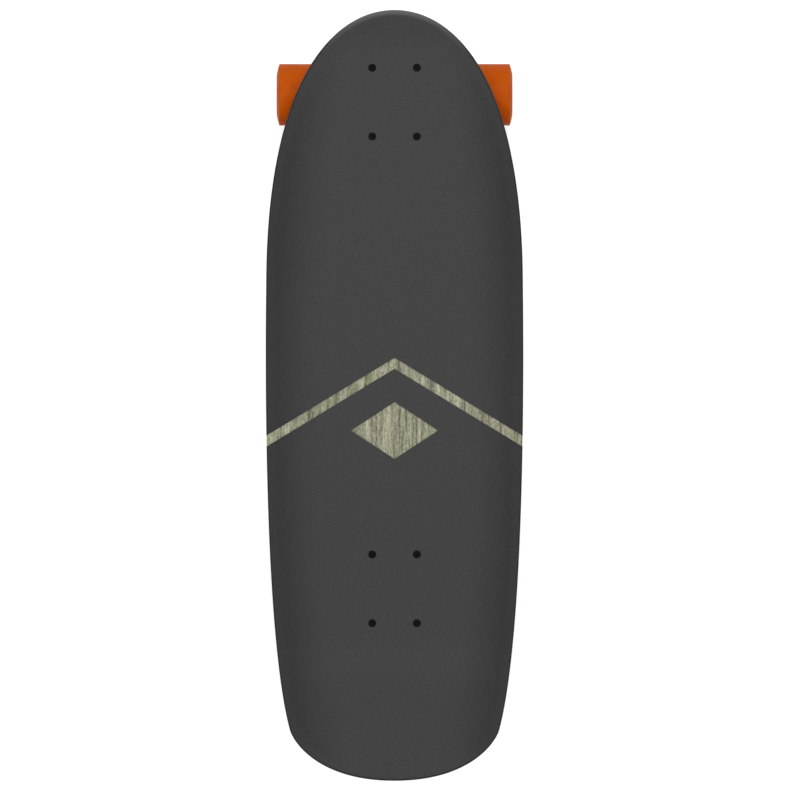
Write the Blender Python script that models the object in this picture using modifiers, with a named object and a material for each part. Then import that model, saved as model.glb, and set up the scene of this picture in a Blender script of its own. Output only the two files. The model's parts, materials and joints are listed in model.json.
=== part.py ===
"""Cruiser skateboard: a pressed maple deck on two traditional-kingpin trucks and four wheels.

Metres, +Z up, +Y towards the nose, +X to the rider's right.
The origin is on the ground, under the middle of the deck.
Each truck is modelled in a frame of its own: its origin is the middle of the bolt pattern on the
baseplate's mounting face, and +Y points outwards, to the nearer end of the deck.
"""

from math import atan2, cos, pi, radians, sin, sqrt, tan, tau

import bmesh
import bpy
from mathutils import Matrix, Vector

# Clearances
SEAT_GAP = 0.0003
BOLT_CLEARANCE = 0.0004
BUSHING_CLEARANCE = 0.0005

# Deck blank, seen from above
DECK_LENGTH = 0.7112
DECK_WIDTH = 0.2369
DECK_THICKNESS = 0.0110
SHOULDER_Y = 0.1009
NOSE_ROUNDING = 0.0559
NOSE_SWEEP = 0.1916
SIDE_SWEEP = 0.0129
TAIL_SWEEP = 0.1019
TAIL_TAPER = 0.0222
TAIL_CORNER_RISE = 0.0459
TAIL_CORNER_ANGLE = radians(15.5)
TAIL_CORNER_ROUNDING = 0.0065
TAIL_ROUNDING = 0.0745
TOP_EDGE_RADIUS = 0.0022
UNDER_EDGE_RADIUS = 0.0042
SPINE_DRAW_IN = 0.1
SPINE_POWER = 6

# Deck pressing
FLAT_WIDTH = 0.1200
FLAT_WIDTH_AT_ENDS = 0.0680
CONCAVE_RADIUS = 0.2100
KICK_LENGTH = 0.1336
KICK_ANGLE = radians(18)
KICK_RADIUS = 0.1700
NOSE_LIFT_LENGTH = 0.0430
NOSE_LIFT_ANGLE = radians(9)
NOSE_LIFT_RADIUS = 0.1500

# Grip tape, in two sheets
GRIP_THICKNESS = 0.0009
STRIPE_WIDTH = 0.0087
STRIPE_APEX_Y = 0.0294
STRIPE_SLOPE = radians(31.3)
DIAMOND_WIDTH = 0.0804
DIAMOND_LENGTH = 0.0526
DIAMOND_Y = -0.0327

# Where the trucks bolt on
BOLT_PATTERN_LENGTH = 0.0635
BOLT_PATTERN_WIDTH = 0.041275
NOSE_TO_FRONT_PATTERN = 0.0850
PATTERN_SPACING = 0.44955

# Baseplate
TRUCK_HEIGHT = 0.0530
PLATE_LENGTH = 0.0820
PLATE_WIDTH = 0.0560
PLATE_THICKNESS = 0.0060
PLATE_CORNER_RADIUS = 0.0090
PLATE_DRAFT = 0.0012
WAIST_DEPTH = 0.0050
WAIST_RADIUS = 0.0400
BOSS_RADIUS = 0.0138
BOSS_FOOT_RADIUS = 0.0165
HOUSING_RADIUS = 0.0112
HOUSING_FOOT_WIDTH = 0.0260
HOUSING_FOOT_END = 0.0385
HOUSING_FOOT_TAPER = 0.0020

# Kingpin and its stack, from the baseplate down
KINGPIN_TILT = radians(22)
KINGPIN_DIAMETER = 0.0095
KINGPIN_HEAD_DIAMETER = 0.0150
KINGPIN_HEAD_HEIGHT = 0.0060
KINGPIN_HEAD_FLOOR = 0.0048
KINGPIN_TAIL = 0.0018
BUSHING_DIAMETER = 0.0250
BUSHING_END_DIAMETER = 0.0238
BOARD_BUSHING_HEIGHT = 0.0130
ROAD_BUSHING_HEIGHT = 0.0105
ROAD_BUSHING_TIP_DIAMETER = 0.0164
WASHER_THICKNESS = 0.0015
WASHER_LIP = 0.0012
WASHER_LIP_WALL = 0.0008
BOARD_WASHER_DIAMETER = 0.0270
ROAD_WASHER_DIAMETER = 0.0200
KINGPIN_NUT_FLATS = 0.0143
KINGPIN_NUT_HEIGHT = 0.0100

# Hanger
RING_CENTRE_Y = -0.0080
RING_CENTRE_Z = -0.0325
RING_WEB = 0.0075
RING_LIP = 0.0020
RING_DIAMETER = 0.0328
RING_HOLE_DIAMETER = 0.0145
SEAT_FLARE = 0.0009
AXLE_OFFSET = 0.0077
HANGER_WIDTH = 0.1486
BEAM_RADIUS = 0.0096
BEAM_END_RADIUS = 0.0083
BEAM_CHAMFER = 0.0006
YOKE_WIDTH = 0.0740
ARM_WIDTH = 0.0460
ELBOW_Y = 0.0170
ELBOW_Z = -0.0305
ELBOW_RADIUS = 0.0065
ELBOW_WIDTH = 0.0200

# Pivot: the hanger's nose in its cup
PIVOT_Y = 0.0260
PIVOT_Z = -0.0125
PIVOT_BALL_RADIUS = 0.0052
PIVOT_NECK_RADIUS = 0.0047
PIVOT_NECK_START = 0.0028
PIVOT_NOSE_ROOT = 0.0020
PIVOT_SHOULDER_RADIUS = 0.0064
PIVOT_SHOULDER = 0.0058
CUP_DIAMETER = 0.0152
CUP_FLOOR = 0.0018
CUP_MOUTH = 0.0050
HOUSING_MOUTH = 0.0045
HOUSING_WALL = 0.0022

# Axle, bearings and wheels
AXLE_DIAMETER = 0.00794
AXLE_LENGTH = 0.2159
AXLE_NUT_FLATS = 0.0127
AXLE_NUT_HEIGHT = 0.0065
BEARING_OUTER_DIAMETER = 0.0220
BEARING_BORE = 0.0086
BEARING_WIDTH = 0.0070
BEARING_RACE_DEPTH = 0.0014
INNER_RACE_DIAMETER = 0.0106
SHIELD_RECESS = 0.0005
SPACER_LENGTH = 0.0100
SPEED_WASHER_DIAMETER = 0.0124
SPEED_WASHER_THICKNESS = 0.0010
WHEEL_DIAMETER = 0.0570
WHEEL_WIDTH = 0.0432
WHEEL_LIP_OUTER_RADIUS = 0.0185
WHEEL_LIP_INNER_RADIUS = 0.0145
WHEEL_SHOULDER_RADIUS = 0.0238
WHEEL_SHOULDER_DROP = 0.0009
WHEEL_EDGE_DROP = 0.0025
WHEEL_CORE_BORE = 0.0184

# Deck bolts
BOLT_DIAMETER = 0.0048
BOLT_LENGTH = 0.0254
BOLT_HEAD_DIAMETER = 0.0074
BOLT_HEAD_RIM = 0.0006
BOLT_SOCKET_FLATS = 0.0030
BOLT_SOCKET_DEPTH = 0.0015
BOLT_HEAD_SINK = 0.0006
DECK_NUT_FLATS = 0.0095
DECK_NUT_HEIGHT = 0.0060
NUT_CHAMFER = 0.0008

# Facets
NOSE_STEPS = 12
SIDE_STEPS = 11
TAIL_STEPS = 7
DECK_COLUMNS = (0.0, 0.2, 0.5, 1.0)
WHEEL_FACETS = 24
BEARING_FACETS = 14
RING_FACETS = 20
BOSS_FACETS = 16
BUSHING_FACETS = 14
BOLT_FACETS = 10
WAIST_FACETS = 40
CORNER_STEPS = 3
SMOOTH_ANGLE = radians(35)
RAIL_SMOOTH_ANGLE = radians(50)

# Building allowances: how far a cutter runs past its work, how deep one casting's shape sinks into
# the next so that no faces coincide, and what counts as one point, as flat and as a small step
CUTTER_REACH = 0.0100
SINK = 0.0002
MERGE_DISTANCE = 0.00001
FLAT_ANGLE = radians(0.5)
SLOPE_STEP = 0.0005
EMPTY_SIZE = 0.0200

# Worked out from the above
MOUNT_Z = WHEEL_DIAMETER / 2 + TRUCK_HEIGHT
DECK_UNDERSIDE_Z = MOUNT_Z + SEAT_GAP
DECK_TOP_Z = DECK_UNDERSIDE_Z + DECK_THICKNESS
FRONT_PATTERN_Y = DECK_LENGTH / 2 - NOSE_TO_FRONT_PATTERN
REAR_PATTERN_Y = FRONT_PATTERN_Y - PATTERN_SPACING
STACK_LENGTH = 2 * (SPEED_WASHER_THICKNESS + BEARING_WIDTH) + SPACER_LENGTH
WHEEL_X = HANGER_WIDTH / 2 + SEAT_GAP + STACK_LENGTH / 2
STEERING_RISE = atan2(PIVOT_Z - RING_CENTRE_Z, PIVOT_Y - RING_CENTRE_Y)

# Heights along the kingpin, from the middle of the hanger's ring
BOARD_BUSHING_FOOT = RING_WEB / 2 + SEAT_GAP
BOARD_WASHER_FOOT = BOARD_BUSHING_FOOT + BOARD_BUSHING_HEIGHT + SEAT_GAP
BOSS_SEAT = BOARD_WASHER_FOOT + WASHER_THICKNESS + SEAT_GAP
KINGPIN_HEAD_FOOT = BOSS_SEAT + KINGPIN_HEAD_FLOOR
ROAD_BUSHING_TOP = -RING_WEB / 2 - SEAT_GAP
ROAD_WASHER_TOP = ROAD_BUSHING_TOP - ROAD_BUSHING_HEIGHT - SEAT_GAP
KINGPIN_NUT_TOP = ROAD_WASHER_TOP - WASHER_THICKNESS - SEAT_GAP
KINGPIN_END = KINGPIN_NUT_TOP - KINGPIN_NUT_HEIGHT - KINGPIN_TAIL


def frame_at(y, z, tilt):
    """A frame in the truck's middle plane, whose Z axis leans from upright towards +Y by a tilt."""
    return Matrix.Translation((0, y, z)) @ Matrix.Rotation(-tilt, 4, "X")


KINGPIN_FRAME = frame_at(RING_CENTRE_Y, RING_CENTRE_Z, KINGPIN_TILT)
STEERING_FRAME = frame_at(PIVOT_Y, PIVOT_Z, pi / 2 - STEERING_RISE)
AXLE_FRAME = Matrix.Translation((0, AXLE_OFFSET, -TRUCK_HEIGHT)) @ Matrix.Rotation(pi / 2, 4, "Y")
ELBOW_FRAME = Matrix.Translation((0, ELBOW_Y, ELBOW_Z)) @ Matrix.Rotation(pi / 2, 4, "Y")
RING_PLACE = Vector((0, RING_CENTRE_Y, RING_CENTRE_Z))


# Scene and materials


def new_collection(name):
    made = bpy.data.collections.new(name)
    bpy.context.scene.collection.children.link(made)
    return made


def linear(channel):
    """One sRGB channel, 0 to 255, as linear light."""
    share = channel / 255
    return share / 12.92 if share <= 0.04045 else ((share + 0.055) / 1.055) ** 2.4


def new_material(name, srgb, roughness, metallic=0.0):
    material = bpy.data.materials.new(name)
    material.use_nodes = True
    shader = material.node_tree.nodes["Principled BSDF"]
    shader.inputs["Base Color"].default_value = (*map(linear, srgb), 1)
    shader.inputs["Roughness"].default_value = roughness
    shader.inputs["Metallic"].default_value = metallic
    return material


def place(name, mesh, material, parent=None, location=(0, 0, 0), rotation=(0, 0, 0)):
    """Add one named piece of the skateboard."""
    piece = bpy.data.objects.new(name, mesh)
    piece.parent = parent
    piece.location = location
    piece.rotation_euler = rotation
    if not mesh.materials:
        mesh.materials.append(material)
    BOARD.objects.link(piece)
    return piece


def place_empty(name, parent=None, location=(0, 0, 0), rotation=(0, 0, 0)):
    """Add a frame that pieces hang from, such as a joint's axis."""
    empty = bpy.data.objects.new(name, None)
    empty.empty_display_size = EMPTY_SIZE
    empty.parent = parent
    empty.location = location
    empty.rotation_euler = rotation
    BOARD.objects.link(empty)
    return empty


# Modelling helpers


def helper(name, mesh, frame=None):
    """A shape used to build or cut another. It is never rendered."""
    shape = bpy.data.objects.new(name, mesh)
    shape.matrix_world = frame or Matrix()
    shape.hide_render = True
    shape.display_type = "WIRE"
    CUTTERS.objects.link(shape)
    return shape


def mesh_of(bm, name):
    mesh = bpy.data.meshes.new(name)
    bm.to_mesh(mesh)
    bm.free()
    return mesh


def turned(name, profile, facets, frame=None, ring=False):
    """Turn a profile of (radius, height) points, listed down its outer side, round the frame's Z axis."""
    mesh = bpy.data.meshes.new(name)
    edges = [(index, index + 1) for index in range(len(profile) - 1)]
    if ring:
        edges.append((len(profile) - 1, 0))
    mesh.from_pydata([(radius, 0, height) for radius, height in profile], edges, [])
    shape = helper(name, mesh, frame)
    screw = shape.modifiers.new("turn", "SCREW")
    screw.angle = tau
    screw.steps = screw.render_steps = facets
    screw.use_merge_vertices = True
    screw.merge_threshold = MERGE_DISTANCE
    return shape


def turned_ring(name, profile, facets, frame=None):
    return turned(name, profile, facets, frame, ring=True)


def cylinder(name, radius, low, high, facets, frame=None):
    return turned(name, [(0, high), (radius, high), (radius, low), (0, low)], facets, frame)


def prism(name, across_flats, low, high, frame=None):
    """A hexagonal bar."""
    bm = bmesh.new()
    radius = across_flats / sqrt(3)
    bmesh.ops.create_cone(
        bm, cap_ends=True, segments=6, radius1=radius, radius2=radius, depth=high - low
    )
    bmesh.ops.translate(bm, verts=bm.verts, vec=(0, 0, (high + low) / 2))
    return helper(name, mesh_of(bm, name), frame)


def circle(radius, height, facets, frame):
    """Points of a circle round the frame's Z axis."""
    turns = [tau * (step + 0.5) / facets for step in range(facets)]
    return [frame @ Vector((radius * cos(turn), radius * sin(turn), height)) for turn in turns]


def hull(name, *outlines):
    """The smooth casting that wraps a few outlines."""
    bm = bmesh.new()
    for outline in outlines:
        for point in outline:
            bm.verts.new(point)
    result = bmesh.ops.convex_hull(bm, input=bm.verts, use_existing_faces=False)
    inside = {item for item in result["geom_interior"] if isinstance(item, bmesh.types.BMVert)}
    unused = {item for item in result["geom_unused"] if isinstance(item, bmesh.types.BMVert)}
    bmesh.ops.delete(bm, geom=list(inside | unused), context="VERTS")
    bmesh.ops.dissolve_limit(
        bm, angle_limit=FLAT_ANGLE, verts=bm.verts, edges=bm.edges, use_dissolve_boundaries=False
    )
    return helper(name, mesh_of(bm, name))


def frozen(shape, origin=(0, 0, 0)):
    """Apply a helper's modifiers and place, and give the mesh about the new origin."""
    bpy.context.view_layer.update()
    graph = bpy.context.evaluated_depsgraph_get()
    mesh = bpy.data.meshes.new_from_object(shape.evaluated_get(graph))
    mesh.transform(Matrix.Translation(-Vector(origin)) @ shape.matrix_world)
    mesh.name = shape.name
    mesh.shade_smooth()
    mesh.set_sharp_from_angle(angle=SMOOTH_ANGLE)
    bpy.data.objects.remove(shape)
    return mesh


def machined(body, joined=(), cut=(), origin=(0, 0, 0)):
    """The body's mesh with some shapes joined on and others cut away."""
    for operation, shapes in (("UNION", joined), ("DIFFERENCE", cut)):
        for shape in shapes:
            step = body.modifiers.new(shape.name, "BOOLEAN")
            step.operation = operation
            step.object = shape
    mesh = frozen(body, origin)
    for shape in (*joined, *cut):
        bpy.data.objects.remove(shape)
    return mesh


def loft(name, rings):
    """Join rings of points, each as long as the next, with strips of faces."""
    bm = bmesh.new()
    lines = [[bm.verts.new(point) for point in ring] for ring in rings]
    for line, following in zip(lines, lines[1:]):
        for index in range(len(line) - 1):
            bm.faces.new(
                (line[index], line[index + 1], following[index + 1], following[index])
            )
    return mesh_of(bm, name)


# Deck


def bezier(points, share):
    """A point of a cubic curve."""
    rest = 1 - share
    weights = (rest**3, 3 * rest**2 * share, 3 * rest * share**2, share**3)
    return sum((weight * Vector(point) for weight, point in zip(weights, points)), Vector((0, 0)))


def deck_outline():
    """The right half of the blank, from the nose tip to the tail tip, as (point, outward normal)."""
    side = DECK_WIDTH / 2
    end = DECK_LENGTH / 2
    corner = Vector((side - TAIL_TAPER, TAIL_CORNER_RISE - end))
    along = Vector((sin(TAIL_CORNER_ANGLE), cos(TAIL_CORNER_ANGLE)))
    shoulder = (side, SHOULDER_Y)
    arcs = (
        (NOSE_STEPS, (0, end), (NOSE_ROUNDING, end), (side, SHOULDER_Y + NOSE_SWEEP), shoulder),
        (
            SIDE_STEPS,
            shoulder,
            (side, SHOULDER_Y - SIDE_SWEEP),
            corner + TAIL_SWEEP * along,
            corner,
        ),
        (TAIL_STEPS, corner, corner - TAIL_CORNER_ROUNDING * along, (TAIL_ROUNDING, -end), (0, -end)),
    )
    points = []
    for steps, *arc in arcs:
        points += [bezier(arc, step / steps) for step in range(steps)]
    points.append(Vector((0, -end)))
    normals = [Vector((0, 1))]
    for before, after in zip(points, points[2:]):
        run = (after - before).normalized()
        normals.append(Vector((-run.y, run.x)))
    normals.append(Vector((0, -1)))
    return list(zip(points, normals))


def bend_rise(run, radius, angle):
    """The rise of a sheet that bends up on a radius to an angle, then runs straight."""
    if run <= 0:
        return 0.0
    bend_run = radius * sin(angle)
    if run < bend_run:
        return radius - sqrt(radius**2 - run**2)
    return radius * (1 - cos(angle)) + (run - bend_run) * tan(angle)


def deck_top(x, y):
    """Height of the pressed deck's upper face."""
    end = DECK_LENGTH / 2
    kick_run = KICK_LENGTH - (end + y)
    lift_run = NOSE_LIFT_LENGTH - (end - y)
    flat = FLAT_WIDTH - (FLAT_WIDTH - FLAT_WIDTH_AT_ENDS) * (y / end) ** 2
    rail = max(0, abs(x) - flat / 2)
    dish = CONCAVE_RADIUS - sqrt(CONCAVE_RADIUS**2 - rail**2)
    kick = bend_rise(kick_run, KICK_RADIUS, KICK_ANGLE)
    lift = bend_rise(lift_run, NOSE_LIFT_RADIUS, NOSE_LIFT_ANGLE)
    return DECK_TOP_Z + dish + kick + lift


def below_top(x, y, depth):
    """A point at a depth square to the deck's upper face, taken straight down."""
    step = SLOPE_STEP
    slope_x = (deck_top(x + step, y) - deck_top(x - step, y)) / (2 * step)
    slope_y = (deck_top(x, y + step) - deck_top(x, y - step)) / (2 * step)
    drop = depth * sqrt(1 + slope_x**2 + slope_y**2)
    return Vector((x, y, deck_top(x, y) - drop))


def deck_columns(inset, depth):
    """Rings across the deck's half, from the inset outline to the centre line."""
    end = DECK_LENGTH / 2
    rings = []
    for share in DECK_COLUMNS:
        ring = []
        for point, normal in deck_outline():
            edge = point - normal * inset
            spine_y = point.y * (1 - SPINE_DRAW_IN * (abs(point.y) / end) ** SPINE_POWER)
            x = edge.x * (1 - share)
            y = edge.y * (1 - share) + spine_y * share
            ring.append(below_top(x, y, depth))
        rings.append(ring)
    return rings


def rail_rings():
    """Rings round the rail's rounded section, from the top edge to the under edge."""
    section = []
    for angle in (radians(45), 0.0):
        section.append(
            (TOP_EDGE_RADIUS * (1 - cos(angle)), TOP_EDGE_RADIUS * (1 - sin(angle)))
        )
    for angle in (0.0, radians(45)):
        depth = DECK_THICKNESS - UNDER_EDGE_RADIUS * (1 - sin(angle))
        section.append((UNDER_EDGE_RADIUS * (1 - cos(angle)), depth))
    rings = []
    for inset, depth in section:
        ring = []
        for point, normal in deck_outline():
            edge = point - normal * inset
            ring.append(below_top(edge.x, edge.y, depth))
        rings.append(ring)
    return rings


def mirror(piece):
    step = piece.modifiers.new("mirror", "MIRROR")
    step.merge_threshold = MERGE_DISTANCE


def subtract(piece, cutter):
    step = piece.modifiers.new(cutter.name, "BOOLEAN")
    step.operation = "DIFFERENCE"
    step.object = cutter


def bolt_places():
    """The four holes of one bolt pattern, from its middle."""
    across, along = BOLT_PATTERN_WIDTH / 2, BOLT_PATTERN_LENGTH / 2
    return [(x, y) for y in (along, -along) for x in (-across, across)]


def bolt_cutter():
    """One cutter for all eight bolt holes, with the heads' countersinks."""
    head = BOLT_HEAD_DIAMETER / 2 + BOLT_CLEARANCE
    hole = BOLT_DIAMETER / 2 + BOLT_CLEARANCE
    rim_foot = DECK_TOP_Z + BOLT_HEAD_SINK - BOLT_HEAD_RIM - BOLT_CLEARANCE
    top = DECK_TOP_Z + CUTTER_REACH
    bottom = DECK_UNDERSIDE_Z - CUTTER_REACH
    profile = [
        (0, top),
        (head, top),
        (head, rim_foot),
        (hole, rim_foot - (head - hole)),
        (hole, bottom),
        (0, bottom),
    ]
    drill = frozen(turned("drill", profile, BOLT_FACETS))
    bm = bmesh.new()
    for centre_y in (FRONT_PATTERN_Y, REAR_PATTERN_Y):
        for x, y in bolt_places():
            start = len(bm.verts)
            bm.from_mesh(drill)
            bm.verts.ensure_lookup_table()
            bmesh.ops.translate(bm, verts=bm.verts[start:], vec=(x, centre_y + y, 0))
    bpy.data.meshes.remove(drill)
    return helper("bolt_holes", mesh_of(bm, "bolt_holes"))


def make_deck(holes):
    top = deck_columns(TOP_EDGE_RADIUS, 0.0)
    under = deck_columns(UNDER_EDGE_RADIUS, DECK_THICKNESS)
    mesh = loft("deck", [*reversed(top), *rail_rings(), *under])
    deck = place("deck", mesh, MAPLE)
    mirror(deck)
    subtract(deck, holes)
    mesh.shade_smooth()
    mesh.set_sharp_from_angle(angle=RAIL_SMOOTH_ANGLE)
    return deck


def make_grip(name, holes, ahead):
    """One sheet of grip tape: the deck's upper face, ahead of the stripe or behind it."""
    bm = bmesh.new()
    sheet = loft(name, list(reversed(deck_columns(TOP_EDGE_RADIUS, -SEAT_GAP))))
    bm.from_mesh(sheet)
    half_width = STRIPE_WIDTH / 2
    across = Vector((sin(STRIPE_SLOPE), cos(STRIPE_SLOPE), 0))
    edge = Vector((0, STRIPE_APEX_Y, 0)) + across * (half_width if ahead else -half_width)
    bmesh.ops.bisect_plane(
        bm,
        geom=[*bm.verts, *bm.edges, *bm.faces],
        plane_co=edge,
        plane_no=across,
        clear_inner=ahead,
        clear_outer=not ahead,
    )
    bm.to_mesh(sheet)
    bm.free()
    grip = place(name, sheet, GRIP)
    mirror(grip)
    shell = grip.modifiers.new("thickness", "SOLIDIFY")
    shell.thickness = GRIP_THICKNESS
    shell.offset = 1
    subtract(grip, holes)
    return grip


def diamond_cutter():
    """The window in the rear sheet of grip."""
    bm = bmesh.new()
    depth = 2 * (GRIP_THICKNESS + SEAT_GAP)
    bmesh.ops.create_cone(bm, cap_ends=True, segments=4, radius1=0.5, radius2=0.5, depth=depth)
    bmesh.ops.scale(bm, verts=bm.verts, vec=(DIAMOND_WIDTH, DIAMOND_LENGTH, 1))
    window = helper("diamond_window", mesh_of(bm, "diamond_window"))
    window.location = (0, DIAMOND_Y, DECK_TOP_Z + SEAT_GAP)
    return window


# Truck, fixed side


def plate_outline(inset, z):
    """A rounded rectangle at a height."""
    radius = PLATE_CORNER_RADIUS - inset
    half_x = PLATE_WIDTH / 2 - PLATE_CORNER_RADIUS
    half_y = PLATE_LENGTH / 2 - PLATE_CORNER_RADIUS
    points = []
    for quarter, (side_x, side_y) in enumerate(((1, 1), (-1, 1), (-1, -1), (1, -1))):
        for step in range(CORNER_STEPS + 1):
            turn = pi / 2 * (quarter + step / CORNER_STEPS)
            x = side_x * half_x + radius * cos(turn)
            points.append(Vector((x, side_y * half_y + radius * sin(turn), z)))
    return points


def make_baseplate_mesh():
    """A cast plate with the kingpin's boss, the pivot cup's housing, a waist and four holes."""
    plate = hull(
        "baseplate", plate_outline(0, 0), plate_outline(PLATE_DRAFT, -PLATE_THICKNESS)
    )
    level = -PLATE_THICKNESS / 2
    kingpin_y = RING_CENTRE_Y + (level - RING_CENTRE_Z) * tan(KINGPIN_TILT)
    boss = hull(
        "boss",
        circle(BOSS_RADIUS, BOSS_SEAT, BOSS_FACETS, KINGPIN_FRAME),
        circle(BOSS_FOOT_RADIUS, level, BOSS_FACETS, Matrix.Translation((0, kingpin_y, 0))),
    )
    foot = HOUSING_FOOT_WIDTH / 2
    heel = foot - HOUSING_FOOT_TAPER
    cup = CUP_DIAMETER / 2 + SEAT_GAP
    cup_floor = PIVOT_BALL_RADIUS + SEAT_GAP + CUP_FLOOR + SEAT_GAP
    housing = hull(
        "housing",
        circle(HOUSING_RADIUS, -HOUSING_MOUTH, BOSS_FACETS, STEERING_FRAME),
        circle(cup + HOUSING_WALL, cup_floor, BOSS_FACETS, STEERING_FRAME),
        circle(foot, level, BOSS_FACETS, Matrix.Translation((0, PIVOT_Y, 0))),
        circle(heel, level, BOSS_FACETS, Matrix.Translation((0, HOUSING_FOOT_END - foot, 0))),
    )
    through = KINGPIN_DIAMETER / 2 + SEAT_GAP
    head = KINGPIN_HEAD_DIAMETER / 2 + BOLT_CLEARANCE
    past_plate = -RING_CENTRE_Z / cos(KINGPIN_TILT) + CUTTER_REACH
    below_boss = BOSS_SEAT - CUTTER_REACH
    pocket_floor = KINGPIN_HEAD_FOOT - SEAT_GAP
    below_cup = -HOUSING_MOUTH - CUTTER_REACH
    cuts = [
        cylinder("kingpin_bore", through, below_boss, past_plate, BUSHING_FACETS, KINGPIN_FRAME),
        cylinder("head_pocket", head, pocket_floor, past_plate, BUSHING_FACETS, KINGPIN_FRAME),
        cylinder("cup_bore", cup, below_cup, cup_floor, BUSHING_FACETS, STEERING_FRAME),
    ]
    below_plate = -PLATE_THICKNESS - CUTTER_REACH
    for side in (-1, 1):
        away = PLATE_WIDTH / 2 - WAIST_DEPTH + WAIST_RADIUS
        frame = Matrix.Translation((side * away, 0, 0))
        cuts.append(
            cylinder("waist", WAIST_RADIUS, below_plate, CUTTER_REACH, WAIST_FACETS, frame)
        )
    for x, y in bolt_places():
        frame = Matrix.Translation((x, y, 0))
        hole = BOLT_DIAMETER / 2 + BOLT_CLEARANCE
        cuts.append(cylinder("bolt_hole", hole, below_plate, CUTTER_REACH, BOLT_FACETS, frame))
    return machined(plate, joined=(boss, housing), cut=cuts)


def make_pivot_cup_mesh():
    """A urethane cup with a round-bottomed bore."""
    outer = CUP_DIAMETER / 2
    bore = PIVOT_BALL_RADIUS + SEAT_GAP
    floor = bore + CUP_FLOOR
    profile = [(0, floor), (outer, floor), (outer, -CUP_MOUTH), (bore, -CUP_MOUTH)]
    profile += [(bore * cos(angle), bore * sin(angle)) for angle in (0, radians(30), radians(60))]
    profile.append((0, bore))
    return frozen(turned("pivot_cup", profile, BUSHING_FACETS, STEERING_FRAME))


def make_kingpin_mesh():
    head_top = KINGPIN_HEAD_FOOT + KINGPIN_HEAD_HEIGHT
    head = KINGPIN_HEAD_DIAMETER / 2
    shank = KINGPIN_DIAMETER / 2
    profile = [
        (0, head_top),
        (head, head_top),
        (head, KINGPIN_HEAD_FOOT),
        (shank, KINGPIN_HEAD_FOOT),
        (shank, KINGPIN_END + NUT_CHAMFER),
        (shank - NUT_CHAMFER, KINGPIN_END),
        (0, KINGPIN_END),
    ]
    return frozen(turned("kingpin", profile, BUSHING_FACETS, KINGPIN_FRAME))


def make_board_bushing_mesh():
    """The barrel between the boss and the ring."""
    bore = KINGPIN_DIAMETER / 2 + SEAT_GAP
    end = BUSHING_END_DIAMETER / 2
    low = BOARD_BUSHING_FOOT
    high = low + BOARD_BUSHING_HEIGHT
    round_off = BUSHING_DIAMETER - BUSHING_END_DIAMETER
    profile = [
        (end, high),
        (BUSHING_DIAMETER / 2, high - round_off),
        (BUSHING_DIAMETER / 2, low + round_off),
        (end, low),
        (bore, low),
        (bore, high),
    ]
    return frozen(turned_ring("board_bushing", profile, BUSHING_FACETS, KINGPIN_FRAME))


def make_road_bushing_mesh():
    """The cone between the ring and the nut."""
    bore = KINGPIN_DIAMETER / 2 + SEAT_GAP
    high = ROAD_BUSHING_TOP
    low = high - ROAD_BUSHING_HEIGHT
    round_off = BUSHING_DIAMETER - BUSHING_END_DIAMETER
    profile = [
        (BUSHING_END_DIAMETER / 2, high),
        (BUSHING_DIAMETER / 2, high - round_off),
        (ROAD_BUSHING_TIP_DIAMETER / 2, low),
        (bore, low),
        (bore, high),
    ]
    return frozen(turned_ring("road_bushing", profile, BUSHING_FACETS, KINGPIN_FRAME))


def make_washer_mesh(name, diameter, outer_face, towards_bushing):
    """A cup washer: a disc with a lip that holds the bushing's end."""
    bore = KINGPIN_DIAMETER / 2 + SEAT_GAP
    rim = diameter / 2
    inner_face = outer_face + towards_bushing * WASHER_THICKNESS
    lip = inner_face + towards_bushing * WASHER_LIP
    wall = rim - WASHER_LIP_WALL
    profile = [
        (rim, outer_face),
        (rim, lip),
        (wall, lip),
        (wall, inner_face),
        (bore, inner_face),
        (bore, outer_face),
    ]
    if towards_bushing > 0:
        profile.reverse()
    return frozen(turned_ring(name, profile, BUSHING_FACETS, KINGPIN_FRAME))


def make_nut_mesh(name, flats, height, bore, frame=None, low=0.0):
    """A hexagon nut."""
    high = low + height
    body = prism(name, flats, low, high, frame)
    hole = cylinder("hole", bore, low - CUTTER_REACH, high + CUTTER_REACH, BOLT_FACETS, frame)
    return machined(body, cut=(hole,))


# Truck, moving side


def make_nose(shoulder):
    """The ball on a neck that sits in the pivot cup."""
    ball = PIVOT_BALL_RADIUS
    root = shoulder - PIVOT_NOSE_ROOT
    profile = [(0, ball)]
    profile += [(ball * cos(angle), ball * sin(angle)) for angle in (radians(60), radians(30), 0)]
    profile += [(PIVOT_NECK_RADIUS, -PIVOT_NECK_START), (PIVOT_NECK_RADIUS, root), (0, root)]
    return turned("nose", profile, BOSS_FACETS, STEERING_FRAME)


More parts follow.
